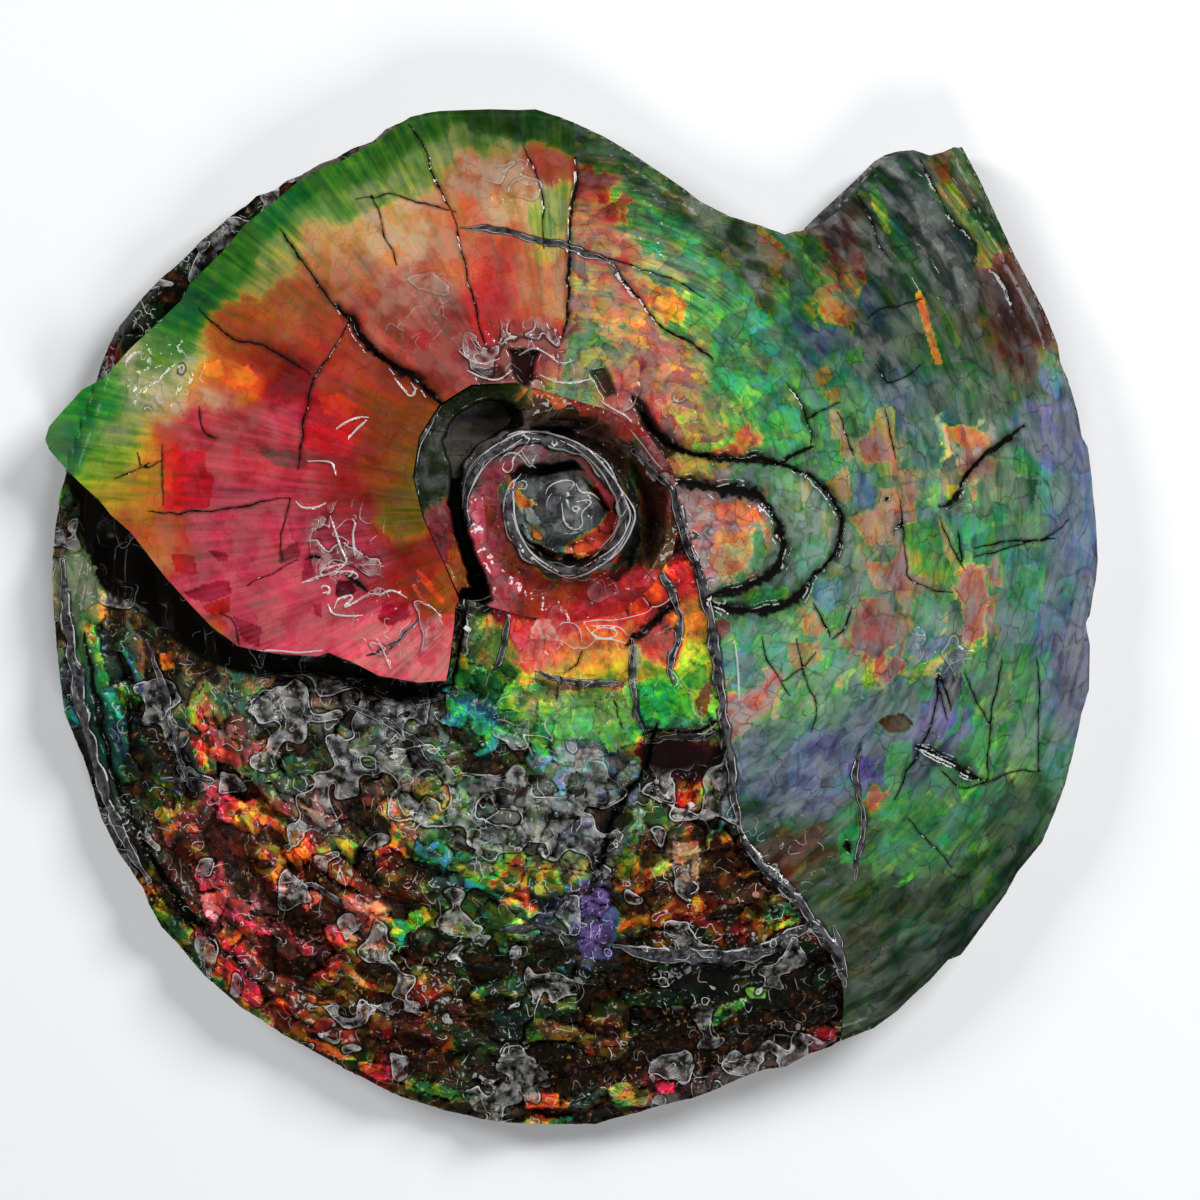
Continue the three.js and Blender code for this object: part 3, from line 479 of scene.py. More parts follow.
FLANK_CRACKS = grooves(
    ("281,230 292,245 300,258 309,272 320,287 328,298 338,308", 1.03, 0.32),
    ("338,306 350,320 362,335 375,352 395,368 420,383 445,406", 2.8, 1.76),
    ("350,322 345,333 340,345 330,360 315,378 311,400 304,430 300,470", 0.8, 0.17),
    ("200,310 225,333 240,343 255,343 285,358 312,376", 0.92, 0.28),
    ("408,125 418,140 428,155 432,168 437,183 445,200 452,215", 0.92, 0.28),
    ("452,215 458,233 462,250 467,270 470,290 480,330 490,352", 0.69, 0.21),
    ("575,160 577,180 573,200 570,220 568,270 568,300 566,325 560,345", 1.15, 0.32),
    ("372,195 380,215 385,235 392,250 398,268", 0.57, 0.14),
    ("358,201 370,197 385,196 405,199 425,207 455,215", 0.57, 0.14),
    ("460,230 480,229 500,232 525,240 545,245 570,248 590,256 612,266", 1.4, 0.4, 0.5, 0.5),
    ("612,266 630,290 640,302 655,325 672,336 690,345 712,360", 1.26, 0.24),
    ("545,250 540,225 545,200 537,175 525,150", 0.57, 0.14),
    ("600,258 632,268 660,275 690,290 705,300", 0.69, 0.14),
    ("200,408 203,425 207,437 218,438", 0.57, 0.14),
    ("165,445 163,470 164,505", 0.57, 0.14),
    ("140,452 143,470 165,460", 0.46, 0.1),
    ("150,513 180,513 210,512 240,509 270,503 290,498", 0.69, 0.17),
    ("290,498 288,515 283,540 284,560", 0.57, 0.14),
    ("250,585 275,572 300,560", 0.46, 0.1),
    ("118,478 138,470 150,462", 0.46, 0.14),
    ("240,645 235,620 222,612", 0.46, 0.1),
    ("390,655 400,640 412,628 420,620", 0.69, 0.14, 0.6, 0.3),
    ("368,655 385,650 402,640", 0.57, 0.1, 0.6, 0.3),
    ("310,560 318,556 325,560", 1.03, 0.24),
    ("348,575 360,583 372,590", 1.38, 0.32),
    # Loops right of the umbilicus
    ("632,398 645,415 660,440 690,455 720,459 750,460 775,462 795,470", 3.2, 1.6),
    ("795,470 812,480 825,492 838,508 842,520 840,540 830,558 818,572", 1.8, 1.12),
    ("818,572 795,597 775,608 755,612 735,611 715,606 706,600", 3.6, 1.3),
    ("775,465 790,456 812,447", 1.38, 0.32),
    ("662,472 675,482 690,486 720,488 745,491 760,498 770,510", 4.6, 1.5),
    ("770,510 778,525 782,540 778,560 772,575 755,584 735,588 710,598", 4, 1.4),
    # Mosaic breaks of the right flank
    ("874,366 881,381 889,385 899,380 909,375 921,365", 0.5, 0.14),
    ("866,320 872,315 885,310 900,307 912,304 921,301", 0.45, 0.12),
    ("1000,660 994,690 990,720 987,750 985,782", 0.69, 0.17),
    ("935,670 943,690 950,710", 1.03, 0.24),
    ("898,500 902,540 905,578 920,588 950,592", 0.5, 0.14),
    ("975,465 985,452 998,448 1010,440", 0.92, 0.21),
    ("936,680 934,705 925,735 905,770 893,800", 0.92, 0.24),
    ("1040,770 1010,772 985,783 960,790 940,770", 0.69, 0.17),
    ("937,519 944,533 950,549 959,564 962,571", 0.5, 0.14),
    ("974,549 985,545 996,543 1010,540 1025,541 1040,542 1054,538", 0.57, 0.14),
    ("760,636 762,655 771,668 780,681 790,696", 0.57, 0.14),
    ("795,640 800,670 815,700 812,730", 0.57, 0.14),
    ("780,681 795,670 806,662 815,653", 0.46, 0.1),
    ("855,190 870,220 878,245 890,262", 0.8, 0.21),
    ("920,160 935,195 955,225 975,245", 0.8, 0.17),
    ("990,270 1005,285 1012,310", 0.92, 0.21),
    ("845,841 847,846 849,851", 2.6, 1.4),
    ("1022,428 1006,438 992,450 978,460 968,470 960,484 956,498 946,508 937,508", 2.2, 0.9),
    ("914,745 932,752 948,759 962,770 980,779", 2.4, 0.9),
    ("956,532 959,548 960,562", 0.9, 0.3),
    ("972,558 1000,550 1022,544 1046,540 1066,520", 0.45, 0.12),
    ("786,384 808,420 809,448", 0.7, 0.2),
    ("808,418 822,410 840,404", 0.8, 0.2),
    ("836,414 844,434 852,456", 0.6, 0.2),
    ("884,408 888,434 893,460", 0.6, 0.2),
    ("830,640 846,626 850,604", 0.7, 0.2),
    ("812,604 820,620 828,638", 0.7, 0.2),
    ("1036,660 1038,700 1038,770", 0.6, 0.2),
    ("964,674 975,700 988,724", 0.6, 0.2),
    ("908,816 928,842 950,866", 0.6, 0.2),
    ("934,680 940,700 946,720", 0.8, 0.2),
    ("884,498 885,500", 2, 0.9),
    ("896,522 899,528", 2.6, 0.9),
)

SEAM_VEINS = grooves(
    (
        "634,450 654,472 675,495 686,542 695,563 705,600 711,630 718,680 723,722 729,762 734,800 743,840",
        2.3, -0.9, 1, 0,
    ),
    ("742,838 765,869 790,890 815,925 838,956 843,985", 3, -1, 1, 0),
)
FLANK_VEINS = SEAM_VEINS + grooves(
    ("733,640 737,665 738,700", 0.5, -0.4, 0, 0, 1),
    ("832,925 840,950 845,975", 1.4, -0.6, 1, 0),
    ("858,742 852,780 862,818 858,850 852,880", 1.4, -0.6, 0.8, 0),
)

WHORL_GROOVES = grooves(
    ("84,632 94,690 108,760 122,805 150,860 180,905 215,945 260,985", 2.4, 1.4),
    ("655,722 648,745 645,770 630,790 618,805 607,830 598,860 590,892", 2.4, 1.8),
    ("640,735 655,728 680,732 700,730 720,718", 1.4, 1),
    ("625,645 640,635 655,620 668,608 678,602", 3, 1.6),
    ("466,600 460,640 455,665 452,690", 1.2, 0.8),
    ("530,545 520,560 510,580", 0.8, 0.5),
    ("581,651 578,658 576,665 571,670 565,674", 0.7, 0.2),
    ("615,590 619,597 624,605 628,614", 0.8, 0.3),
    ("639,593 645,599 652,606", 0.8, 0.3),
    ("612,702 617,711 620,720 622,727", 0.6, 0.2),
    ("558,683 557,692 557,700", 0.6, 0.2),
)

WHORL_VEINS = SEAM_VEINS + grooves(
    ("62,560 66,628 78,690 92,760 106,808 132,856 148,882", 3, -1.2, 1, 0),
    ("655,560 668,590 680,612 679,640 668,662 672,684", 1.6, -0.8, 0.8, 0),
    ("615,945 640,951 680,956 720,955 750,953 775,946 790,933 815,925", 3.6, -1.6, 1, 0),
    ("503,607 508,625 504,650 494,668", 1.2, -0.8, 0.7, 0),
    ("632,640 632,680 638,720 645,735", 1.4, -0.7, 0.7, 0),
    ("645,742 675,735 700,738 716,730", 1.6, -0.7, 0.8, 0),
    ("535,670 560,680 590,685 625,682", 1.2, -0.5, 0.6, 0),
    ("250,678 290,674 330,672 365,680", 0.9, -0.7, 0.9, 0),
    ("365,686 395,700 430,704 460,690", 1, -0.8, 0.9, 0),
    ("345,705 380,715 405,735 425,745", 1.6, -0.8, 0.8, 0),
    ("415,735 420,755 440,770", 1.4, -0.7, 0.8, 0),
    ("160,780 180,778 200,778 220,782", 1, -0.7, 0.9, 0),
    ("145,640 160,680 170,720 180,760 190,790", 1.8, -0.9, 0.75, 0),
    ("290,895 310,880 330,895 345,905", 1.2, -0.8, 0.8, 0),
    ("500,930 530,925 560,930 570,945", 1.4, -0.8, 0.8, 0),
)

COIL_FRAGMENTS = fragments(
    ("573,552 576,543 588,538 600,541 609,540 607,548 596,556 580,558", VERMILION, 1.1, 0.15, 0, 0.6),
    ("573,556 582,553 590,557 578,560", AMBER, 1.1, 0.2, 0, 0.6),
    ("598,482 606,484 615,500 614,511 606,506 600,492", CRIMSON, 0.75, 0.15, 0, 0.5),
    ("598,524 608,523 614,529 608,534 600,531", RED, 0.9, 0.15, 0, 0.5),
    ("524,508 530,505 536,514 542,522 534,526 526,520", YELLOW, 0.6, 0.9, 0.1, 0.5),
    ("528,499 534,498 536,505 530,506", ORANGE, 1.1, 0.2, 0, 0.5),
    ("532,530 538,531 542,539 538,541 533,536", ORANGE, 1.1, 0.2, 0, 0.5),
    ("540,545 552,550 566,556 560,560 546,554", ROSE, 0.35, 0.3, 0.1, 0.3),
    ("520,450 532,448 544,462 530,466 522,458", ROSE, 0.4, 0.5, 0.3, 0.2),
    ("568,450 580,452 600,472 606,484 596,478 580,462", CRIMSON, 0.7, 0.35, 0.05, 0.2),
    ("475,508 481,520 486,540 482,544 476,530 473,514", ROSE, 1, 0.5),
    ("484,506 492,500 498,512 492,530 488,540", ORANGE, 0.3, 0.1),
    ("636,452 644,450 650,460 644,466 637,460", ROSE, 0.7, 0.9, 0, 0.8),
    ("646,463 655,466 661,477 654,482 646,474", ROSE, 0.5, 0.9, 0.1, 0.8),
    ("660,474 668,474 678,484 674,491 664,486", CRIMSON, 0.7, 0.7, 0.1, 0.8),
    ("622,580 640,566 658,570 668,580 650,590 630,592", RED, 0.95, 0.12),
    ("436,506 444,508 450,520 446,528 438,520", CRIMSON, 0.7, 0.4),
    ("446,528 454,530 462,556 458,564 450,546", ORANGE, 0.7, 0.15),
)

FLANK_FRAGMENTS = fragments(
    ("165,450 206,452 208,470 216,478 212,508 166,511", RED, 0.95),
    ("305,428 318,425 345,432 356,445 350,458 325,455 306,448", RED, 0.95),
    ("320,398 345,394 358,408 350,420 326,415", VERMILION, 0.9),
    ("174,554 196,556 200,575 178,573", RED, 0.62, 0.05),
    ("210,551 228,552 230,561 220,560", CRIMSON, 0.5),
    ("186,592 214,582 232,581 233,594 212,602 196,600", CRIMSON, 0.6),
    ("204,606 232,596 232,611 218,620", VERMILION, 0.7),
    ("234,616 264,627 260,646 246,641", CRIMSON, 0.58),
    ("304,560 318,556 316,576 304,580", ROSE, 0.62),
    ("290,517 308,519 309,540 302,549 292,536", ROSE, 0.8, 0.1),
    ("280,553 300,541 302,556 282,565", CRIMSON, 0.36, 0.1, 0.1),
    ("256,446 296,452 314,462 304,470 276,466", CRIMSON, 0.4, 0.2, 0.25),
    ("338,582 352,580 358,590 348,600 338,596", CRIMSON, 0.15),
    ("316,604 324,602 324,618 316,614", ROSE, 0.7),
    ("384,604 408,602 412,616 394,626 378,620", CRIMSON, 0.55),
    ("418,570 424,572 446,600 442,604 426,586", VERMILION, 0.9),
    ("412,584 418,586 428,604 424,606", ORANGE, 0.8),
    ("230,372 250,366 262,380 246,392 228,388", ORANGE, 1),
    ("205,365 222,360 226,376 210,380", AMBER, 0.9),
    ("655,292 672,288 688,306 680,326 664,318", AMBER, 0.95),
    ("846,764 858,754 874,760 874,776 858,781 846,775", VIOLET, 0.65, 0.05),
    ("865,655 874,660 873,684 862,688 858,672", LIME, 0.85, 0.1),
    ("915,660 930,662 928,676 914,674", LIME, 0.85, 0.1),
    ("944,428 960,424 984,434 986,446 966,450 948,442", ORANGE, 0.8, 0.3),
    ("960,572 980,570 984,600 980,638 966,640 958,606", ORANGE, 0.5, 0.45),
    ("912,596 928,592 940,606 938,632 926,648 916,640 910,616", TEAL, 0.7, 0.5),
    ("944,484 956,486 954,500 944,500", LIME, 0.95),
    ("874,410 892,406 896,460 884,484 868,456", ORANGE, 0.5, 0.45, 0.12),
    ("840,410 868,420 866,438 848,438", GREEN, 0.5, 0.2, 0.1),
    ("828,410 838,410 854,456 846,464 830,446", ORANGE, 0.5, 0.45, 0.15),
    ("814,442 838,440 840,468 826,478 816,464", GREEN, 0.65, 0.2, 0.1),
    ("822,484 846,466 850,492 846,508 834,500", ORANGE, 0.55, 0.4, 0.15),
    ("856,466 874,492 872,510 854,510", INDIGO, 0.45, 0.3, 0.3),
    ("872,462 890,462 890,484 884,496 876,488", LEAF, 0.55, 0.25, 0.15),
    ("880,490 896,488 904,508 888,516 892,544 866,546 846,518 876,512", ORANGE, 0.5, 0.45, 0.12),
    ("860,560 888,564 890,590 874,590", ORANGE, 0.5, 0.5, 0.1),
    ("860,600 886,596 894,630 876,646 856,636", VERMILION, 0.35, 0.4, 0.25),
    ("812,580 838,578 840,604 824,614 812,600", BLUE, 0.65, 0.5, 0.1),
    ("824,614 846,606 842,626 828,634", GREEN, 0.7, 0.3, 0.05),
    ("800,616 812,612 822,626 816,638 802,634", ORANGE, 0.6, 0.4, 0.05),
    ("784,642 818,640 822,660 792,674", ORANGE, 0.5, 0.45, 0.12),
    ("900,524 928,520 944,550 952,572 948,586 920,578 908,570", LEAF, 0.62, 0.15, 0.15),
    ("918,598 932,594 940,616 938,634 924,630", GREEN, 0.8, 0.55, 0.05),
    ("974,574 978,576 987,606 970,642 966,638 982,606", ORANGE, 0.6, 0.45),
    ("936,516 942,518 950,546 960,566 954,570 942,554", AMBER, 0.5, 0.35, 0.15),
    ("970,490 975,492 974,500 970,499", VERMILION, 0.9, 0.2),
    ("1012,450 1022,448 1038,464 1036,476 1014,475", GREEN, 0.55, 0.15, 0.2),
    ("1014,479 1036,479 1032,500 1020,516", TEAL, 0.25, 0, 0.5),
    ("992,504 1006,502 1006,520 992,520", TEAL, 0.6, 0.1, 0.15),
    ("968,538 982,532 986,550 984,566 972,564", TEAL, 0.6, 0.15, 0.1),
    ("1006,552 1044,546 1046,560 1018,566", CYAN, 0.5, 0.2, 0.2),
    ("1018,570 1044,565 1042,600 1038,610 1018,612 1006,596", GREEN, 0.8, 0.3, 0.05),
    ("1012,645 1036,643 1038,680 1010,680", GREEN, 0.5, 0.2, 0.2),
    ("914,682 928,680 932,698 914,702", GREEN, 0.55, 0.3, 0.1),
    ("934,670 950,650 966,646 960,668 946,677", INDIGO, 0.3, 0.3, 0.5),
    ("940,679 960,673 962,688 948,711 941,698", VIOLET, 0.1, 0.1, 0.85),
    ("916,704 940,702 946,720 944,740 924,742 916,724", VIOLET, 0.65, 0.5, 0.15),
    ("960,678 970,698 968,708 958,708", GREEN, 0.65, 0.15, 0.1),
    ("996,727 1005,718 1006,760 993,764", GREEN, 0.7, 0.1, 0.05),
    ("1012,662 1026,652 1028,700 1016,711 1012,690", GREEN, 0.75, 0.25, 0.1),
    ("974,712 988,728 984,770 974,766 964,758 972,734", GREEN, 0.95, 0.2),
    ("953,782 980,787 976,800 960,798", GREEN, 1),
    ("928,771 940,773 947,789 943,797 926,789", TEAL, 0.55, 0.3, 0.1),
    ("884,742 910,738 911,760 904,780 899,798 882,780", LEAF, 0.85, 0.3, 0.05),
    ("812,746 820,734 834,734 836,752 824,760", VIOLET, 0.5, 0.3, 0.15),
    ("784,768 806,757 820,766 820,792 808,800 790,790", INDIGO, 0.6, 0.5, 0.15),
    ("898,806 926,793 944,801 951,812 932,840 919,863 893,865 885,852 896,818", GREEN, 0.6, 0.15, 0.08),
    ("953,809 972,809 981,817 979,840 954,859 937,840 937,824", GREEN, 0.52, 0.25, 0.1),
    ("968,841 978,837 976,850 968,852", LIME, 0.65),
    ("936,832 946,834 946,846 938,842", GREEN, 1),
    ("892,885 904,877 914,870 911,877 898,887", GREEN, 1.1),
    ("838,832 848,824 860,822 858,850 854,861 838,861", GREEN, 0.85),
    ("876,722 884,714 904,714 911,722 904,731 886,732", VERMILION, 0.06, 0, 0.25, -0.7),
    # Inside the loops and beside the seam
    ("714,502 742,503 760,512 758,522 736,526 716,520", ORANGE, 1.1, 0.3, 0, 0.4),
    ("700,528 712,522 716,530 712,545 700,548", ROSE, 0.6, 0.7),
    ("714,530 748,530 752,552 744,572 716,574 708,560", AMBER, 0.75, 0.4, 0, 0.2),
    ("752,530 762,532 766,548 756,566 752,552", GREEN, 0.7, 0.3),
    ("714,622 722,618 730,622 731,632 724,638 716,634", ROSE, 0.25, 0.3, 0.3, 1),
    ("736,592 756,588 786,590 782,602 750,606", GREEN, 0.8, 0.05),
    ("842,352 860,348 864,362 848,366", LEAF, 0.5),
    ("812,372 826,366 832,380 818,388", ORANGE, 0.4),
    ("824,392 838,388 840,402 828,404", ORANGE, 0.45),
    ("868,186 876,184 888,216 890,236 884,234 872,206", LIME, 0.45),
    ("914,294 920,292 930,326 940,364 934,366 922,330", VERMILION, 0.55),
    ("946,186 954,184 974,224 970,230 956,208", LIME, 0.3),
)

WHORL_FRAGMENTS = fragments(
    ("342,897 352,893 366,897 364,912 344,908", ROSE, 1.2, 0.45, 0, 0.9),
    ("366,897 384,905 388,922 372,920 364,912", ORANGE, 1.2, 0.6, 0, 0.9),
    ("305,893 316,887 322,898 308,912 302,904", VERMILION, 1, 0.2, 0, 0.9),
    ("408,915 424,906 430,918 414,932 404,926", LIME, 0.95, 0.05, 0, 0.7),
    ("672,842 698,840 700,862 696,882 676,878", ORANGE, 0.6, 0.5, 0, 0.4),
    ("632,808 642,806 644,832 636,836", CYAN, 0.6, 0.45, 0, 0.4),
    ("640,680 660,676 676,690 678,712 664,730 646,726 638,706", GREEN, 1.1, 0, 0, 1.1),
    ("574,893 606,896 620,912 612,958 582,958 572,925", VIOLET, 0.6, 0.15, 0, 0.3),
    ("768,927 785,918 802,914 796,922 776,929", GREEN, 0.9, 0.1),
    ("748,985 766,988 766,998 750,997", GREEN, 0.8, 0.3, 0, 0.4),
    ("702,1025 722,1004 748,996 742,1008 716,1026", GREEN, 0.6, 0.1),
    ("302,1038 330,1046 356,1060 340,1062 310,1050", ORANGE, 1, 0, 0, 0.5),
    ("358,1062 392,1068 396,1080 378,1082 360,1072", RED, 0.95, 0.05, 0, 0.6),
    ("405,1080 440,1086 470,1096 466,1104 430,1098 404,1090", LEAF, 0.6, 0.1, 0.2, 0.5),
    ("522,1096 558,1094 560,1110 526,1112", RED, 0.95, 0, 0, 0.6),
    ("610,1094 648,1088 650,1097 614,1104", LIME, 0.7, 0.1, 0, 0.5),
    ("655,1084 674,1082 674,1092 657,1095", RED, 0.9, 0, 0, 0.5),
    ("58,554 80,554 92,568 100,592 98,602 82,612 74,624 66,614 54,596 52,572", GREEN, 0.3, 0.45, 0.4, 0.9),
    ("537,618 547,614 552,622 556,630 560,640 547,640 530,638 532,628", CRIMSON, 1.5, 0.65),
    ("561,682 574,682 587,684 586,690 575,690 563,688", ORANGE, 0.3, 0.1, 0.6),
    ("603,685 613,684 623,682 623,688 613,690 604,690", ORANGE, 0.35, 0.1, 0.2),
    ("709,679 713,684 710,693 708,705 705,714 700,717 696,711 695,700 699,690", ORANGE, 0.25, 0.1, 0.5),
    ("629,646 640,643 641,660 637,678 630,680", LEAF, 0.6, 0.6, 0.3),
    ("136,880 150,876 152,892 144,898 138,890", ORANGE, 0.4),
    ("190,868 222,862 226,884 200,892", ROSE, 0.8, 0.2, 0, 0.7),
    ("198,896 226,890 224,912 214,925 204,916", CRIMSON, 1.2, 0.45, 0, 0.7),
    ("566,848 582,848 590,860 582,874 568,872 560,860", LIME, 0.6, 0.45, 0.1, 1),
    ("158,655 170,652 174,668 162,672", AMBER, 0.9),
    ("222,722 236,726 230,742 218,738", VERMILION, 0.6, 0.5),
    ("250,742 268,738 272,750 256,756", RED, 0.7, 0.3, 0, 0.5),
    ("280,850 300,845 312,858 296,868", ORANGE, 1, 0.05, 0, 0.5),
    ("806,1030 818,1026 834,1030 836,1042 822,1048 808,1044", CRIMSON, 0.4, 0, 0, 1.2),
)

# Wrinkles of clear resin on the red heart and beside the umbilicus: low raised ridges, each with a painted
# highlight along it
RESIN_WRINKLES: tuple[Groove, ...] = tuple(
    Groove(route(line), 0.55, -0.4, 0.0, 0.0, 1.0)
    for line in (
        "298,502 304,509 320,508 328,503",
        "332,516 336,528 340,540 344,552 349,562 346,566 334,574 320,577 324,569 345,564",
        "304,583 320,577 350,570 362,576 356,579",
        "354,520 358,524 354,532 357,556",
        "323,588 328,584 334,592 324,593",
        "336,608 339,598 356,594 354,600 342,609 354,604 372,592 380,596 394,589 408,598",
        "330,604 332,614 346,616 364,615",
        "256,650 276,650 300,653 324,650",
        "378,638 384,648 392,668",
        "338,430 346,424 360,418 370,419",
        "350,440 354,434 368,422",
        "310,462 334,462 336,470 338,476",
        "66,560 70,592 70,618 78,624",
        "396,380 405,392 412,399 418,392 412,384",
        "460,352 470,362 484,366 500,360",
        "468,372 484,380 500,382 512,372",
        "520,356 534,348 548,356 560,366 572,362",
        "540,376 556,384 574,384 590,380",
        "600,402 612,410 628,418 636,432",
    )
)

# Pale resin edges on the fan below the umbilicus: low raised ridges, each with a painted highlight along it
FAN_WRINKLES: tuple[Groove, ...] = tuple(
    Groove(route(line), 0.5, -0.2, 0.0, 0.0, 0.75)
    for line in (
        "580,622 597,620 613,620 630,617 640,615 648,612 652,607",
        "672,597 663,604 657,607 652,606",
        "587,625 597,626 607,625 620,626 627,635",
        "593,632 597,628 607,627 617,630 618,634 613,637 603,638 597,637 593,632",
        "562,587 570,595 575,603 580,610 583,620 587,628 592,635 597,638",
        "537,618 543,615 547,614",
        "537,618 536,624 532,628",
        "560,625 563,622 572,623 578,626 581,633 582,642",
        "560,640 568,644 573,649 578,647 583,649 588,647 593,642",
        "595,639 607,639 618,640 627,644",
        "678,640 677,647 673,657",
        "668,668 674,673 677,678 678,683 673,687",
        "680,685 683,690 688,692 692,695",
        "692,700 692,708 695,715 700,717",
        "720,712 717,722 710,728 700,735 695,730",
        "585,687 590,683 593,681",
        "483,612 492,607 495,605",
        "547,718 544,725 547,732 552,735 553,740",
        "522,733 528,735 537,735 547,737 552,741",
        "523,735 528,745 532,755",
        "496,705 498,700 505,697 512,695",
    )
)


def from_plan(route: Route) -> Array:
    """Turns plan squares into millimetres in the specimen's frame.

    Args:
        route: Points on the plan, x to the right and y downwards.

    Returns:
        The same points in millimetres, one row each.
    """
    points = np.asarray(route, float)
    x = (points[:, 0] - PLAN_ORIGIN[0]) * PLAN_SQUARE
    y = (PLAN_ORIGIN[1] - points[:, 1]) * PLAN_SQUARE
    return np.stack([x, y], axis=1)


def densify(line: Array, spacing: float) -> Array:
    """Resamples a line at an even spacing.

    Args:
        line: Points in millimetres.
        spacing: Distance between the new points.

    Returns:
        The resampled points, both ends kept.
    """
    steps = np.hypot(*np.diff(line, axis=0).T)
    along = np.concatenate([[0.0], np.cumsum(steps)])
    count = max(int(round(along[-1] / spacing)), 1)
    marks = np.linspace(0.0, along[-1], count + 1)
    return np.stack([np.interp(marks, along, line[:, 0]), np.interp(marks, along, line[:, 1])], axis=1)


def hash01(i: Array, j: Array, seed: int) -> Array:
    """Gives each lattice point one repeatable number from 0 to 1.

    Args:
        i: Lattice column.
        j: Lattice row.
        seed: Which random field.

    Returns:
        Numbers from 0 to 1.
    """
    mixed = (i.astype(np.int64) * 374761393 + j.astype(np.int64) * 668265263 + seed * 974711) & 0xFFFFFFFF
    mixed = ((mixed ^ (mixed >> 13)) * 1274126177) & 0xFFFFFFFF
    mixed = ((mixed ^ (mixed >> 16)) * 2246822519) & 0xFFFFFFFF
    return ((mixed ^ (mixed >> 15)) & 0xFFFFFF) / float(0xFFFFFF)


def noise(x: Array, y: Array, size: float, seed: int, octaves: int = 1) -> Array:
    """Smooth noise from -1 to 1.

    Args:
        x: Millimetres across.
        y: Millimetres up.
        size: Size of its lumps.
        seed: Which random field.
        octaves: How many finer layers are added.

    Returns:
        The noise at each point.
    """
    total = np.zeros_like(x, dtype=float)
    strength = 1.0
    whole = 0.0
    for octave in range(octaves):
        u = x / size * 2**octave
        v = y / size * 2**octave
        i = np.floor(u)
        j = np.floor(v)
        fu = u - i
        fv = v - j
        fu = fu * fu * (3 - 2 * fu)
        fv = fv * fv * (3 - 2 * fv)
        layer = seed + 17 * octave
        low = hash01(i, j, layer) * (1 - fu) + hash01(i + 1, j, layer) * fu
        high = hash01(i, j + 1, layer) * (1 - fu) + hash01(i + 1, j + 1, layer) * fu
        total += strength * (2 * (low * (1 - fv) + high * fv) - 1)
        whole += strength
        strength *= 0.5
    return total / whole


@dataclass
class Shards:
    """A broken pavement of shell shards: for each point, its shard's draws and how near its edge is."""

    first: Array
    second: Array
    third: Array
    across: Array
    along: Array
    edge: Array

    @classmethod
    def pave(cls, u: Array, v: Array, size: float, seed: int) -> "Shards":
        """Breaks a surface into irregular shards.

        Args:
            u: Millimetres across.
            v: Millimetres along.
            size: Usual size of a shard.
            seed: Which pavement.

        Returns:
            The pavement at each point.
        """
        i = np.floor(u / size)
        j = np.floor(v / size)
        best = np.full(u.shape, 1e9)
        second = np.full(u.shape, 1e9)
        own_i = np.zeros_like(u)
        own_j = np.zeros_like(u)
        du = np.zeros_like(u)
        dv = np.zeros_like(u)
        for di in (-1, 0, 1):
            for dj in (-1, 0, 1):
                ci = i + di
                cj = j + dj
                gap_u = u / size - ci - 0.5 - 0.8 * (hash01(ci, cj, seed) - 0.5)
                gap_v = v / size - cj - 0.5 - 0.8 * (hash01(ci, cj, seed + 1) - 0.5)
                reach = np.hypot(gap_u, gap_v)
                nearer = reach < best
                second = np.where(nearer, best, np.minimum(second, reach))
                own_i = np.where(nearer, ci, own_i)
                own_j = np.where(nearer, cj, own_j)
                du = np.where(nearer, gap_u, du)
                dv = np.where(nearer, gap_v, dv)
                best = np.where(nearer, reach, best)
        draws = [hash01(own_i, own_j, seed + 2 + k) for k in range(3)]
        return cls(*draws, across=du, along=dv, edge=(second - best) * size)


def smooth(value: Array, low: float, high: float) -> Array:
    """Fades from 0 to 1 between two values."""
    share = np.clip((value - low) / (high - low), 0.0, 1.0)
    return share * share * (3 - 2 * share)


def contour(field_at: Height, x: Array, y: Array, level: Array) -> Array:
    """How far points are from where a field reaches a level, by the field's own slope.

    Args:
        field_at: The field.
        x: Millimetres across.
        y: Millimetres up.
        level: The level at each point.

    Returns:
        Millimetres, above nought where the field is higher.
    """
    step = 0.15
    here = field_at(x, y)
    slope = np.hypot(field_at(x + step, y) - here, field_at(x, y + step) - here) / step
    return np.clip((here - level) / np.maximum(slope, 0.03), -3, 3)


def line_distance(x: Array, y: Array, line: Array) -> tuple[Array, Array]:
    """Measures how far points are from a line, and how far along it the nearest place is.

    Args:
        x: Millimetres across.
        y: Millimetres up.
        line: Points of the line in millimetres.

    Returns:
        The distances, and the shares of the line's length from 0 to 1.
    """
    least = np.full(x.shape, 1e9)
    share = np.zeros_like(x)
    steps = np.hypot(*np.diff(line, axis=0).T)
    total = steps.sum()
    start = 0.0
    for (ax, ay), (bx, by), length in zip(line[:-1], line[1:], steps):
        if length < 1e-9:
            continue
        t = np.clip(((x - ax) * (bx - ax) + (y - ay) * (by - ay)) / length**2, 0.0, 1.0)
        reach = np.hypot(x - ax - t * (bx - ax), y - ay - t * (by - ay))
        nearer = reach < least
        least = np.where(nearer, reach, least)
        share = np.where(nearer, (start + t * length) / total, share)
        start += length
    return least, share


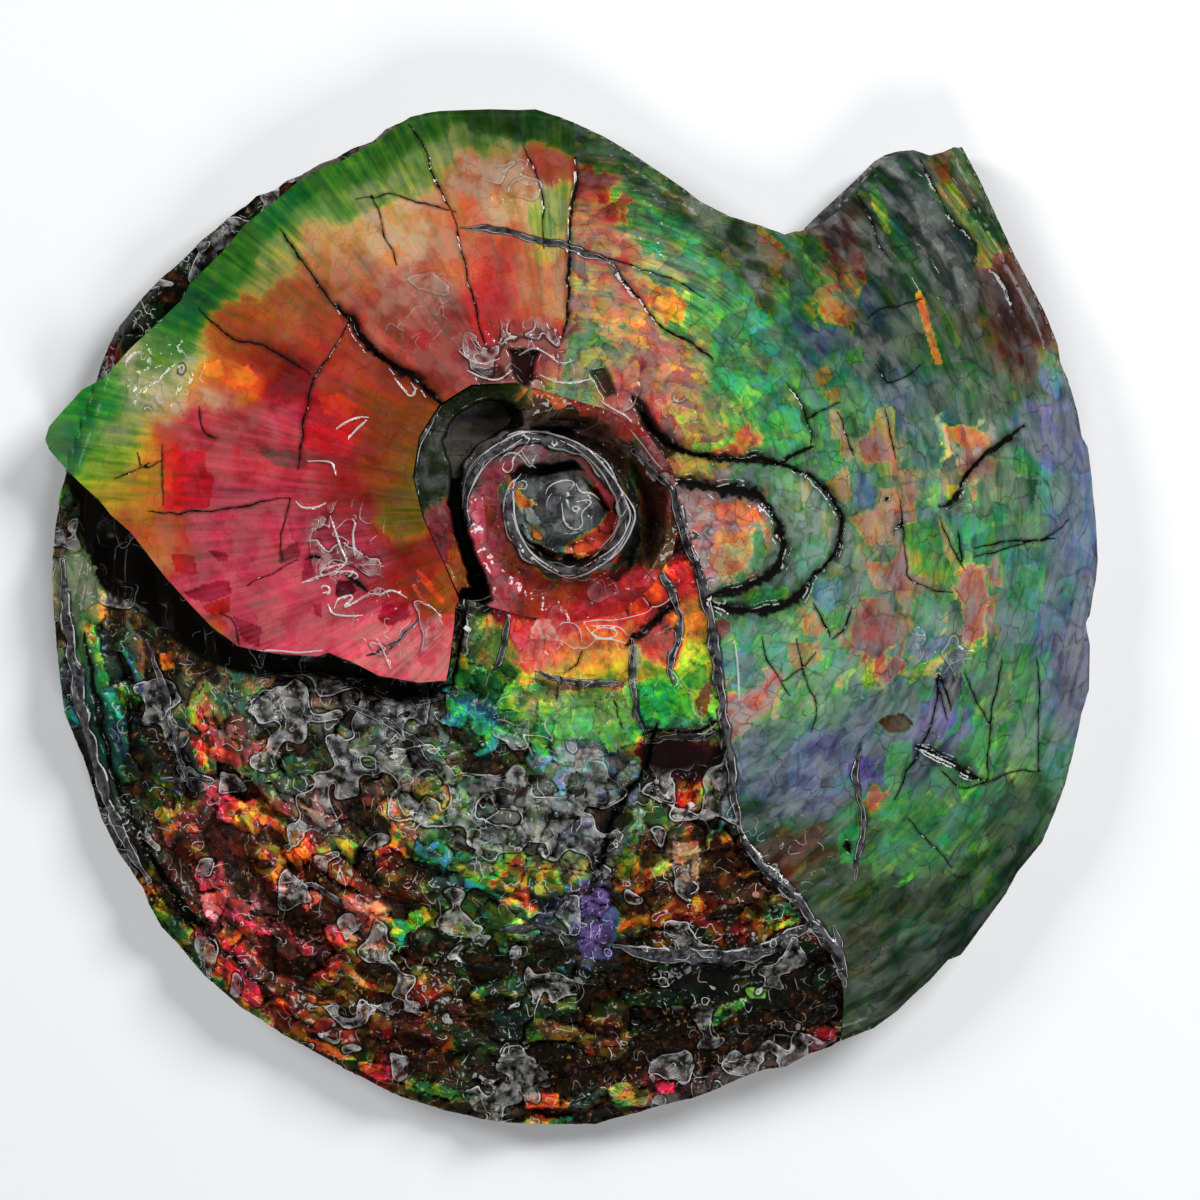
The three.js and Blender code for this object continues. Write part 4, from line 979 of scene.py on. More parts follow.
class DistanceMap:
    """Distance to one long line, worked out on a coarse net and read between its knots."""

    KNOT = 1.5
    HALF = 142.5

    def __init__(self, route: Route) -> None:
        """Measures the whole net once.

        Args:
            route: The line on the plan.
        """
        marks = np.arange(-self.HALF, self.HALF + self.KNOT, self.KNOT)
        x, y = np.meshgrid(marks, marks)
        self.net, _ = line_distance(x, y, from_plan(route))

    def at(self, x: Array, y: Array) -> Array:
        """Reads the distance at points in millimetres."""
        u = np.clip((x + self.HALF) / self.KNOT, 0, self.net.shape[1] - 1.001)
        v = np.clip((y + self.HALF) / self.KNOT, 0, self.net.shape[0] - 1.001)
        i = u.astype(int)
        j = v.astype(int)
        fu = u - i
        fv = v - j
        low = self.net[j, i] * (1 - fu) + self.net[j, i + 1] * fu
        high = self.net[j + 1, i] * (1 - fu) + self.net[j + 1, i + 1] * fu
        return low * (1 - fv) + high * fv


RIM_ROUTE: Route = tuple(OUTER_WHORL + LOWER_RIM[1:] + LEDGE_RIM + TOP_RIM + MOUTH_FOOT + (OUTER_WHORL[0],))

UPPER_FLANK: Route = tuple(
    UPPER_LEFT_EDGE
    + ((398, 124),)
    + TOP_RIM[2:9]
    + route("575,123 575,160 577,180 573,200 570,220 568,270 568,300 566,325 560,345")
    + route("556,396 516,384 472,386 440,406 420,438 414,478 424,518 444,562 460,600")
    + BROKEN_CORNER[::-1][1:]
    + BROKEN_EDGE[::-1][1:]
)
OUTER_FLANK: Route = tuple(
    TOP_RIM[9:]
    + MOUTH_EDGE
    + OUTER_WHORL
    + SEAM[::-1][1:13]
    + ((680, 514), (672, 470), (644, 430), (604, 410), (556, 396))
    + ((560, 345), (566, 325), (568, 300), (568, 270), (570, 220), (573, 200), (577, 180), (575, 160))
)
LOWER_WHORL: Route = tuple(
    BROKEN_EDGE[2:]
    + BROKEN_CORNER[1:]
    + COIL_BORDER[12:]
    + COIL_BORDER[:1]
    + SEAM[3:]
    + LOWER_RIM[1:]
)
RIM_LEDGE: Route = tuple(
    LEDGE_RIM
    + ((385, 128), (398, 122), (412, 132), (400, 160), (345, 190), (300, 215), (245, 260), (215, 300))
    + ((190, 330), (150, 372), (110, 410))
)
MOUTH_FACE: Route = tuple(MOUTH_FOOT + ((940, 162), (900, 165), (870, 190), (835, 228), (808, 240)))


@dataclass(frozen=True)
class Basin:
    """A sunk place inside a closed line on the plan, blackened as dark ground in painted shade."""

    route: Route
    depth: float
    gap: float = 1.0
    slope: float = 1.2


# The black band under the broken edge: dark ground in the painted shade of the step
BLACK_BAND: Route = BROKEN_EDGE + route(
    "455,684 430,700 400,702 360,695 335,681 300,676 270,678 230,671 190,652 "
    "150,622 128,604 100,590 92,570 80,545 75,505 66,490 58,470"
)


def basins(*rows: tuple) -> tuple[Basin, ...]:
    """One basin from each row: its outline as text or as a route, then its other values."""
    return tuple(Basin(route(row[0]) if isinstance(row[0], str) else row[0], *row[1:]) for row in rows)


WHORL_BASINS = basins(
    (BLACK_BAND, 0.6, 1, 2),
    ("650,728 690,734 722,726 722,760 700,778 668,772 640,790 642,750", 1.2, 0.75),
    ("452,608 470,600 462,640 454,668", 1, 0.9),
    ("700,962 770,958 826,946 836,1000 806,1012 740,1005 690,990", 0.8, 0.55, 3),
)
# The coil's pockets and grooves, blackened as dark ground in painted shade
COIL_BASINS = basins(
    (
        "446,424 462,408 488,396 512,402 521,412 523,428 500,434 478,446 466,460 461,482 464,510 474,545 "
        "486,575 490,592 474,596 466,572 456,545 448,505 449,470 440,440", 4.5, 1, 1.2,
    ),
    ("452,600 462,588 490,584 492,600 478,612 456,614", 4, 1),
    ("506,474 520,466 545,462 575,460 584,470 560,472 535,477 514,482", 2.4, 1),
    ("518,526 528,540 552,552 580,556 602,548 610,552 590,568 555,566 528,552", 2.6, 1),
    ("586,480 600,488 612,510 604,512 592,496", 2.2, 0.9),
    (
        "528,424 560,426 596,438 624,462 640,500 642,535 634,566 616,582 604,580 622,552 630,516 622,480 "
        "600,454 566,438 530,434", 2.2, 0.9, 2.2,
    ),
    ("628,440 650,462 668,500 664,545 648,570 640,540 642,500 630,466", 0.6, 0.75, 2),
)
FLANK_BASINS = basins(
    ("508,350 540,352 534,378 524,392 512,376", 2.2, 0.95),
    ("470,372 500,366 512,380 480,386", 1.2, 0.7),
    ("590,372 606,366 618,396 606,402", 1.4, 0.85),
    ("632,396 646,406 662,434 682,452 664,462 650,446 640,424", 1.6, 0.9),
)
COIL_VEINS = SEAM_VEINS + grooves(
    (
        "466,522 466,500 470,480 484,459 505,445 530,436 556,440 580,449 600,467 614,487 624,506 626,522 "
        "619,540 604,555 585,567 566,573 547,567 530,555 517,539 509,520 508,500 514,485 526,477",
        3.3, -1.9, 1, 0,
    ),
    ("440,406 424,432 415,456 413,482 418,512 428,532", 1.8, -1, 1, 0),
    (
        "462,508 464,482 470,467 481,455 498,444 515,436 528,431 541,431 558,435 575,442 588,450 601,463 "
        "613,478 622,491 630,502 636,513 633,527 626,542 616,555 601,566 584,575 569,579 558,575 545,568 "
        "532,557", 0.5, -0.2, 0, 0, 1,
    ),
    ("560,441 576,449 592,462 604,476 612,492 619,506 620,520 613,535 600,548", 0.4, -0.2, 0, 0, 1),
    ("616,483 625,499 631,514 627,530 618,545 600,558 580,569", 0.4, -0.2, 0, 0, 1),
    ("521,474 513,483 514,500 515,520 523,542 534,556 546,564 558,572", 0.45, -0.2, 0, 0, 1),
    ("504,512 505,496 511,482 520,476", 0.4, -0.2, 0, 0, 1),
    ("474,486 482,470 496,456 512,447 522,440", 0.4, -0.2, 0, 0, 1),
    ("505,462 501,470 508,474 514,468 512,460 522,450 530,440", 0.4, -0.3, 0, 0, 1),
    ("522,452 528,462 536,468", 0.4, -0.3, 0, 0, 1),
    ("553,440 552,448 558,446 556,440", 0.4, -0.3, 0, 0, 1),
    ("546,494 548,486 562,480 576,482 570,490", 0.45, -0.4, 0, 0, 1),
    ("562,504 564,524 574,532 584,526 580,512 592,504 590,500 576,502", 0.45, -0.5, 0, 0, 1),
    ("572,508 578,506 580,511 575,513 572,508", 0.4, -0.5, 0, 0, 1),
    ("576,484 580,494 590,492 600,500", 0.45, -0.4, 0, 0, 1),
    ("518,486 520,480 528,482 526,490 518,488", 0.45, -0.4, 0, 0, 1),
    ("500,462 504,454 516,452 524,460 530,470 536,456", 0.45, -0.4, 0, 0, 1),
    ("622,492 616,508 620,520 626,510", 0.45, -0.4, 0, 0, 1),
    ("630,430 640,442 650,456 662,470", 0.5, -0.4, 0, 0, 0.9),
    ("448,610 462,600 478,602 490,596", 0.5, -0.3, 0, 0, 0.9),
)


def plan_of(x: Array, y: Array) -> tuple[Array, Array]:
    """Turns millimetres into plan squares."""
    return x / PLAN_SQUARE + PLAN_ORIGIN[0], PLAN_ORIGIN[1] - y / PLAN_SQUARE


def is_inside(x: Array, y: Array, polygon: Array) -> Array:
    """Tells which points lie inside a closed line.

    Args:
        x: Millimetres across.
        y: Millimetres up.
        polygon: Corners of the line in millimetres.

    Returns:
        True where a point is inside.
    """
    inside = np.zeros(x.shape, bool)
    for (ax, ay), (bx, by) in zip(polygon, np.roll(polygon, -1, axis=0)):
        if ay == by:
            continue
        crosses = (ay > y) != (by > y)
        inside ^= crosses & (x < ax + (y - ay) * (bx - ax) / (by - ay))
    return inside


def near_box(x: Array, y: Array, line: Array, margin: float) -> Array:
    """Flat indices of the points that lie within a margin of a line's box."""
    low = line.min(axis=0) - margin
    high = line.max(axis=0) + margin
    return np.flatnonzero((x > low[0]) & (x < high[0]) & (y > low[1]) & (y < high[1]))


class Relief:
    """Heights of the specimen's surfaces over its resting plane, from its driving sizes."""

    COIL_CENTRE = ((0, 16.5), (6, 16), (7.5, 14.5), (9, 12.5), (12, 12.5), (13.5, 15.5), (15.8, 18), (17, 17))
    GROOVE_SIDE = COIL_CENTRE + ((18, 13), (20, 11.5), (22.5, 13), (25, 19), (30, 20.8))
    POCKET_SIDE = COIL_CENTRE + ((18, 15), (22, 15), (25.5, 16.5), (27.5, 12.5), (42, 12.5))
    WHORL_SIDE = COIL_CENTRE + ((18, 15), (22, 15.5), (26, 16.5), (30, 17.3))
    GROOVE_DIRECTION = math.radians(35)
    POCKET_DIRECTION = math.radians(170)

    def __init__(self) -> None:
        """Measures the rim, the seam and the broken edge once."""
        self.rim = DistanceMap(RIM_ROUTE)
        self.seam = DistanceMap(SEAM)
        self.broken = DistanceMap(BROKEN_EDGE)

    def crown(self, x: Array, y: Array) -> Array:
        """How far the disc has risen to its full thickness, from 0 to 1."""
        return 1 - (1 - np.minimum(self.rim.at(x, y) / CROWN_REACH, 1)) ** 2

    def rounding(self, x: Array, y: Array) -> Array:
        """How far the rounded rim has come down."""
        return RIM_FALL * (1 - np.minimum(self.rim.at(x, y) / RIM_ROUNDING, 1)) ** 2

    def flank(self, x: Array, y: Array) -> Array:
        """Height of the shell flank."""
        swell = 0.9 * noise(x, y, 30, 1)
        return RIM_HEIGHT + CROWN_RISE * self.crown(x, y) - self.rounding(x, y) + swell

    def terraces(self, x: Array, y: Array) -> Array:
        """Ledges that run round the crushed whorl, rising slowly outwards and breaking off short."""
        radius = np.hypot(x - DISC_CENTRE[0], y - DISC_CENTRE[1]) + 2.5 * noise(x, y, 16, 5)
        share = (radius / LEDGE_PITCH) % 1
        return 2 * np.minimum(share / 0.7, (1 - share) / 0.3)

    def whorl(self, x: Array, y: Array) -> Array:
        """Height of the crushed lower whorl."""
        crown = self.crown(x, y)
        fall = smooth(self.seam.at(x, y), 0, WHORL_DROP_REACH)
        drop = SEAM_STEP + fall * (WHORL_DROP_AT_RIM + (WHORL_DROP_AT_CROWN - WHORL_DROP_AT_RIM) * crown)
        trench = TRENCH_DEPTH * np.exp(-((self.broken.at(x, y) / TRENCH_WIDTH) ** 2))
        crushed = fall * (self.terraces(x, y) + 2.2 * noise(x, y, 9, 9))
        return RIM_HEIGHT + CROWN_RISE * crown - drop - trench + crushed - self.rounding(x, y)

    def umbilicus(self, x: Array, y: Array) -> Array:
        """Height of the carved coil."""
        radius = np.hypot(x - UMBILICUS[0], y - UMBILICUS[1])
        angle = np.arctan2(y - UMBILICUS[1], x - UMBILICUS[0])
        to_groove = smooth(np.cos(angle - self.GROOVE_DIRECTION), -0.05, 0.3)
        to_pocket = smooth(np.cos(angle - self.POCKET_DIRECTION), 0.5, 0.75)
        whorl_side, groove_side, pocket_side = (
            np.interp(radius, *np.array(profile, float).T)
            for profile in (self.WHORL_SIDE, self.GROOVE_SIDE, self.POCKET_SIDE)
        )
        groove = to_groove * (groove_side - whorl_side)
        pocket = to_pocket * (pocket_side - whorl_side)
        return whorl_side + groove + pocket + 0.5 * noise(x, y, 4, 3, 2)

    def rim_top(self, x: Array, y: Array) -> Array:
        """Height of whatever surface meets the rim at a place."""
        on_flank = is_inside(x * 0.985, y * 0.985, from_plan(OUTER_FLANK))
        on_flank |= is_inside(x * 0.985, y * 0.985, from_plan(UPPER_FLANK))
        return np.where(on_flank, self.flank(x, y), self.whorl(x, y))


@dataclass
class Skin:
    """Everything a surface carries at each of its points: height, film colour and breaks."""

    z: Array
    film: Array
    glow: Array
    cream: Array
    slate: Array
    crack: Array
    vein: Array
    gap: Array
    crush: Array
    edge: Array
    fine_edge: Array
    streak: Array
    mosaic: Array
    flow: Array
    chips: Array
    folds: Array

    def take(self, picks: Array) -> "Skin":
        """The same skin at some of its points, possibly repeated."""
        return Skin(**{name: values[picks] for name, values in vars(self).items()})

    @staticmethod
    def joined(parts: Sequence["Skin"]) -> "Skin":
        """Several skins one after the other."""
        names = vars(parts[0])
        return Skin(**{name: np.concatenate([getattr(part, name) for part in parts]) for name in names})


@dataclass
class Breakage:
    """How a surface is broken: the sizes of its shards and how far they stand apart."""

    shard: float
    stretch: float
    lift: float
    tilt: float
    gap_depth: float
    fine_shard: float
    fine_lift: float
    hue_spread: float
    glow_spread: float
    matrix: float = 0.0
    embers: float = 0.0


def paint(x: Array, y: Array, patches: Sequence[Patch]) -> tuple[Array, Array, Array, Array]:
    """Blends soft patches of shell colour.

    Args:
        x: Millimetres across.
        y: Millimetres up.
        patches: The patches that reach this surface.

    Returns:
        Film, glow, cream and slate at each point.
    """
    px, py = plan_of(x, y)
    sums = np.zeros((5, *x.shape))
    for patch in patches:
        turn = math.radians(patch.turn)
        along = (px - patch.x) * math.cos(turn) + (py - patch.y) * math.sin(turn)
        across = (py - patch.y) * math.cos(turn) - (px - patch.x) * math.sin(turn)
        weight = np.exp(-2.2 * ((along / patch.wide) ** 2 + (across / patch.high) ** 2)) + 1e-12
        sums += weight * np.array([1.0, patch.hue.value, patch.glow, patch.cream, patch.slate]).reshape(
            -1, *([1] * x.ndim)
        )
    return tuple(sums[1:] / sums[0])


def wear_at(x: Array, y: Array, wears: Sequence[Wear]) -> tuple[Array, Array, Array]:
    """Crumpled, streaked and whole shares from soft ovals of wear.

    Args:
        x: Millimetres across.
        y: Millimetres up.
        wears: The ovals.

    Returns:
        Crush, streak and whole from 0 to 1.
    """
    px, py = plan_of(x, y)
    shares = np.zeros((3, *x.shape))
    for wear in wears:
        turn = math.radians(wear.turn)
        along = (px - wear.x) * math.cos(turn) + (py - wear.y) * math.sin(turn)
        across = (py - wear.y) * math.cos(turn) - (px - wear.x) * math.sin(turn)
        share = 1 - smooth((along / wear.wide) ** 2 + (across / wear.high) ** 2, 0.3, 1.5)
        for row, weight in enumerate((wear.crush, wear.streak, wear.whole)):
            shares[row] = np.maximum(shares[row], weight * share)
    return tuple(shares)


@dataclass
class Sheet:
    """One region of the fossil's face as a closed plate with its relief, breaks and colours."""

    name: str
    outline: Route
    cell: float
    height: Height
    patches: Sequence[Patch]
    breakage: Breakage
    relief: Relief
    wears: Sequence[Wear] = ()
    grooves: Sequence[Groove] = ()
    basins: Sequence[Basin] = ()
    fragments: Sequence[Fragment] = ()
    base_crush: float = 0.0
    base_streak: float = 0.15
    base_mosaic: float = 0.3
    floor: float = 5.0
    wall_depths: Sequence[float] = (0.45, 0.7, 1.6, 3.0, 4.6)
    chip_density: float = 0.0
    flow_turn: float = 0.0
    ribbed: bool = False
    seed: int = 1

    def flow_at(self, x: Array, y: Array) -> tuple[Array, Array]:
        """Millimetres along and across the grain: round the coil, or outwards where the shell is ribbed."""
        dx = x - UMBILICUS[0]
        dy = y - UMBILICUS[1]
        angle = np.arctan2(dy, dx) - math.radians(self.flow_turn)
        angle = (angle + math.pi) % (2 * math.pi) - math.pi
        radius = np.hypot(dx, dy)
        return (radius, angle * 60.0) if self.ribbed else (angle * 90.0, radius)

    def skin_at(self, x: Array, y: Array) -> Skin:
        """Works out the whole surface at some points.

        Args:
            x: Millimetres across.
            y: Millimetres up.

        Returns:
            Its height, colour and breaks.
        """
        cut = self.breakage
        z = self.height(x, y)
        gap, sunk = self.sunk_at(x, y)
        calm = 1 - 0.9 * gap
        crush, streak, whole = wear_at(x, y, self.wears)
        crush = np.maximum(crush, self.base_crush * (1 - 0.75 * whole))
        streak = np.maximum(streak, self.base_streak)
        mosaic = self.base_mosaic * (1 - 0.7 * whole)
        along, across = self.flow_at(x, y)
        bend_x = x + 2.4 * noise(x, y, 11, self.seed + 20) + 0.9 * noise(x, y, 3.5, self.seed + 21)
        bend_y = y + 2.4 * noise(x, y, 11, self.seed + 22) + 0.9 * noise(x, y, 3.5, self.seed + 23)
        central = np.hypot(x - UMBILICUS[0], y - UMBILICUS[1]) + 3 * noise(x, y, 7, self.seed + 28) < 46
        flow_x = along + 2.4 * noise(x, y, 8, self.seed + 24) + 1.0 * noise(x, y, 2.6, self.seed + 26)
        flow_y = across + 2.4 * noise(x, y, 8, self.seed + 25) + 1.0 * noise(x, y, 2.6, self.seed + 27)
        flow_x, flow_y = np.where(central, bend_x * cut.stretch, flow_x), np.where(central, bend_y, flow_y)
        shards = Shards.pave(flow_x / cut.stretch, flow_y, cut.shard, self.seed + 30)
        fine = Shards.pave(bend_x, bend_y, cut.fine_shard, self.seed + 40)
        scatter = cut.fine_shard * 1.4 * np.maximum(mosaic, 0.15)
        centre_x = bend_x + (fine.first - 0.5) * scatter + (shards.first - 0.5) * cut.shard * 1.3 * mosaic
        centre_y = bend_y + (fine.second - 0.5) * scatter + (shards.second - 0.5) * cut.shard * 1.3 * mosaic
        film, glow, cream, slate = paint(centre_x, centre_y, self.patches)
        hue_spread = cut.hue_spread * mosaic + 0.35 * slate * cut.matrix
        film = film + hue_spread * ((shards.third - 0.5) + 0.8 * (fine.third - 0.5))
        glow = glow * (1 + cut.glow_spread * mosaic * ((shards.first - 0.5) * 1.4 + (fine.second - 0.5)))
        draw = 0.5 * shards.first + 0.5 * fine.second
        embers = cut.embers * (1 - whole)
        glow = glow * (1 - embers + embers * 4.2 * draw**2.6)
        slate = np.clip(slate * (1 + mosaic * (0.9 * (shards.second - 0.5) + 0.8 * (fine.first - 0.5))), 0, 1)
        loose = np.maximum(crush, 0.15) * calm
        z = z - sunk
        open_gap = smooth(noise(x, y, 5, self.seed + 63), -0.15, 0.2)
        z = z + loose * cut.lift * (shards.first - 0.5)
        lean = (shards.second - 0.5) * shards.across + (shards.third - 0.5) * shards.along
        z = z + loose * cut.tilt * cut.shard * lean
        z = z - loose * cut.gap_depth * open_gap * (1 - smooth(shards.edge, 0.0, 1.0))
        z = z + calm * cut.fine_lift * (0.1 + crush) * (fine.first - 0.5)
        z = z - calm * cut.fine_lift * 0.7 * (0.05 + crush) * (1 - smooth(fine.edge, 0.0, 0.6))
        fold, curl = self.folds_at(x, y, paint(bend_x, bend_y, self.patches)[3])
        ridges = 1 - 2.4 * np.abs(noise(bend_x, bend_y, 6.5, self.seed + 50, 2))
        z = z + calm * crush * (0.3 * ridges + 0.35 * smooth(fold, -0.3, 0.3))
        crests = 0.35 * np.exp(-(((fold - 0.2) / 0.4) ** 2)) + 0.25 * np.exp(-((curl / 0.35) ** 2))
        z = z + calm * crush * crests
        z = z + 0.08 * streak * calm * noise(flow_x * 0.12, flow_y, 1.3, self.seed + 60)
        z = z + calm * 0.10 * noise(x, y, 5.0, self.seed + 61, 3)
        patchy = noise(flow_x * 0.5, flow_y, 4.6, self.seed + 62, 3) + 0.35 * (0.5 - shards.first)
        # Painted shade: the dark ground is laid more at the low foot of each terrace; it is also laid more
        # towards the rim
        patchy = patchy + 0.16 * (1 - self.relief.terraces(x, y))
        patchy = patchy + 0.20 * (1 - smooth(self.relief.rim.at(x, y), 14, 46)) - 0.06
        matrix = cut.matrix * (1 - whole) * smooth(patchy, 0.02, 0.16)
        z = z - matrix * 0.8 * calm
        for fragment in self.fragments:
            line = from_plan(fragment.route)
            picks = near_box(x, y, line, 1.0)
            wavy_x = x.flat[picks] + 0.25 * noise(x.flat[picks], y.flat[picks], 1.6, 75)
            wavy_y = y.flat[picks] + 0.25 * noise(x.flat[picks], y.flat[picks], 1.6, 76)
            within = is_inside(wavy_x, wavy_y, line)
            picks = picks[within]
            film.flat[picks] = fragment.hue.value + 0.3 * (film.flat[picks] - fragment.hue.value)
            glow.flat[picks] = fragment.glow * (0.75 + 0.5 * fine.first.flat[picks])
            cream.flat[picks] = fragment.cream
            slate.flat[picks] = fragment.slate
            gap.flat[picks] = 0.0
            matrix.flat[picks] = 0.0
            z.flat[picks] += fragment.lift
        crack = np.full(x.shape, 3.0)
        vein = np.full(x.shape, 3.0)
        # Distance to the nearest line of painted highlight, from the grooves' pale share
        drawn = np.full(x.shape, 3.0)
        for groove in self.grooves:
            line = groove.line()
            picks = near_box(x, y, line, 1.5 * groove.width + 0.5)
            if not len(picks):
                continue
            reach, share = line_distance(x.flat[picks], y.flat[picks], line)
            taper = np.clip(6 * np.minimum(share, 1 - share), 0.25, 1.0) ** 0.6
            unevenness = 1 + 0.45 * noise(x.flat[picks], y.flat[picks], 3.0, 72)
            half = groove.width / 2 * taper * unevenness
            scaled = reach / half
            thin = 0.16 if groove.width < HAIRLINE else 0.0
            profile = np.clip(1 - scaled**2, 0, 1)
            if groove.depth < 0:
                profile = np.sqrt(profile)
            z.flat[picks] -= groove.depth * profile * taper
            if groove.gap > 0:
                crack.flat[picks] = np.minimum(crack.flat[picks], scaled + 1.5 * (1 - groove.gap) + thin)
            if groove.vein > 0:
                vein.flat[picks] = np.minimum(vein.flat[picks], scaled)
            if groove.pale > 0:
                drawn.flat[picks] = np.minimum(drawn.flat[picks], scaled + 1.5 * (1 - groove.pale))
        z = np.minimum(z, TOP_LIMIT)
        chips = self.chip_density * crush * (gap < 0.3) * (self.relief.rim.at(x, y) > 3)
        sealed = 1 - 0.85 * (1 - self.base_crush) * (1 - smooth(self.relief.rim.at(x, y), 3.0, 9.0))
        flow = np.stack([along, across, sealed], axis=-1)
        folds = np.stack([fold, curl, drawn, matrix], axis=-1)
        return Skin(
            z, film, glow, cream, slate, crack, vein, gap, crush,
            shards.edge, fine.edge, streak, mosaic, flow, chips, folds,
        )

    def folds_at(self, x: Array, y: Array, cover: Array) -> tuple[Array, Array]:
        """Finds the folds and curls in which the clear resin has set.

        Args:
            x: Millimetres across.
            y: Millimetres up.
            cover: How much of the surface the folds cover, from 0 to 1.

        Returns:
            Millimetres inside the nearest fold's edge, and to the nearest curl.
        """

        def lumps(size: float, rank: int) -> Height:
            """Noise on a swaying plan."""

            def at(u: Array, v: Array) -> Array:
                """The noise at some points."""
                sway_u = u + 1.8 * noise(u, v, 4.5, self.seed + rank)
                sway_v = v + 1.8 * noise(u, v, 4.5, self.seed + rank + 1)
                return noise(sway_u, sway_v, size, self.seed + rank + 2, 2)

            return at

        return contour(lumps(7.0, 90), x, y, 0.42 - 0.85 * cover), contour(lumps(3.2, 94), x, y, 0.2 + 0 * x)

    def sunk_at(self, x: Array, y: Array) -> tuple[Array, Array]:
        """How black and how deep the sunk places are; the black is dark ground with painted shade.

        Args:
            x: Millimetres across.
            y: Millimetres up.

        Returns:
            The black share and the depth at each point.
        """
        gap = np.zeros_like(x)
        sunk = np.zeros_like(x)
        for basin in self.basins:
            line = from_plan(basin.route)
            picks = near_box(x, y, line, 2.0)
            if not len(picks):
                continue
            wavy_x = x.flat[picks] + 0.5 * noise(x.flat[picks], y.flat[picks], 2.4, 73)
            wavy_y = y.flat[picks] + 0.5 * noise(x.flat[picks], y.flat[picks], 2.4, 74)
            reach, _ = line_distance(wavy_x, wavy_y, np.vstack([line, line[:1]]))
            depth = np.where(is_inside(wavy_x, wavy_y, line), reach, -reach)
            sunk.flat[picks] = np.maximum(sunk.flat[picks], basin.depth * smooth(depth, -0.3, basin.slope))
            gap.flat[picks] = np.maximum(gap.flat[picks], basin.gap * smooth(depth, -0.4, 0.5))
        return gap, sunk

    def knots(self) -> tuple[Array, Array, Array]:
        """Lays the square net over the outline and pulls its knots onto the outline and the cracks.

        Returns:
            The knots' x and y, and the triangles inside the outline.
        """
        cell = self.cell * 1.0
        outline = from_plan(self.outline)
        low = outline.min(axis=0) - 2 * cell
        count = np.ceil((outline.max(axis=0) + 2 * cell - low) / cell).astype(int) + 1
        x, y = np.meshgrid(low[0] + cell * np.arange(count[0]), low[1] + cell * np.arange(count[1]))
        owner = np.full(x.shape, -1)
        place = np.zeros(x.shape, int)
        lines = [np.vstack([outline, outline[:1]])]
        lines += [groove.line() for groove in self.grooves]
        for rank, line in enumerate(lines):
            samples = densify(line, cell * 0.3)
            near = np.rint((samples - low) / cell).astype(int)
            kept = np.flatnonzero((near >= 0).all(axis=1) & (near < count).all(axis=1))
            if not len(kept):
                continue
            keys = near[kept, 1] * count[0] + near[kept, 0]
            reach = np.hypot(samples[kept, 0] - x.flat[keys], samples[kept, 1] - y.flat[keys])
            ranking = np.lexsort((reach, keys))
            firsts = ranking[np.concatenate([[True], np.diff(keys[ranking]) != 0])]
            firsts = firsts[owner.flat[keys[firsts]] < 0]
            x.flat[keys[firsts]] = samples[kept[firsts], 0]
            y.flat[keys[firsts]] = samples[kept[firsts], 1]
            owner.flat[keys[firsts]] = rank
            place.flat[keys[firsts]] = kept[firsts]

        index = np.arange(x.size).reshape(x.shape)
        corners = [index[:-1, :-1], index[:-1, 1:], index[1:, 1:], index[1:, :-1]]
        a, b, c, d = (corner.ravel() for corner in corners)

        def linked(first: Array, second: Array) -> Array:
            """True where two knots follow each other along one line."""
            same = (owner.flat[first] >= 0) & (owner.flat[first] == owner.flat[second])
            return same & (np.abs(place.flat[first] - place.flat[second]) < 12)

        checker = ((a // count[0] + a % count[0]) % 2).astype(bool)
        rising = linked(a, c) | (~linked(b, d) & checker)
        first = np.where(rising[:, None], np.stack([a, b, c], 1), np.stack([a, b, d], 1))
        second = np.where(rising[:, None], np.stack([a, c, d], 1), np.stack([b, c, d], 1))
        triangles = np.concatenate([first, second])
        middle_x = x.flat[triangles].mean(axis=1)
        middle_y = y.flat[triangles].mean(axis=1)
        triangles = triangles[is_inside(middle_x, middle_y, outline)]
        used, triangles = np.unique(triangles, return_inverse=True)
        return x.flat[used], y.flat[used], triangles.reshape(-1, 3)

    def build(self) -> bpy.types.Object:
        """Builds the closed plate.

        Returns:
            The new object, with its colours and breaks as attributes.
        """
        x, y, triangles = self.knots()
        skin = self.skin_at(x, y)
        edges = boundary_of(triangles)
        rim, flat_edges = np.unique(edges, return_inverse=True)
        flat_edges = flat_edges.reshape(-1, 2)
        normal = outward_of(x[rim], y[rim], flat_edges)
        on_rim = self.relief.rim.at(x[rim], y[rim]) < 0.8
        top = skin.z[rim]
        low = np.where(on_rim, top - 2.2 - 0.7 * noise(x[rim], y[rim], 6, 80), self.floor)
        low = np.minimum(low, top - 0.6)
        skins = [skin]
        places = [np.stack([x, y, skin.z], axis=1)]
        rows = [rim]
        total = len(x)
        depths = list(self.wall_depths) + [None]
        for step, depth in enumerate(depths):
            share = (step + 1) / len(depths)
            drop = top - low if depth is None else np.minimum(depth, (top - low) * (0.05 + 0.9 * share))
            z = top - drop
            rough = noise(x[rim] + 3 * z, y[rim] - 2 * z, 1.8, 81, 2)
            recess = np.where(step > 1, 0.25 + 0.3 * rough + 0.05 * drop, 0.05 * (1 + rough))
            recess = np.clip(recess, 0, 0.9)
            inward = (x[rim] - recess * normal[:, 0], y[rim] - recess * normal[:, 1])
            places.append(np.stack([*inward, z], axis=1))
            side = skin.take(rim)
            side.z = z
            side.chips = np.zeros_like(z)
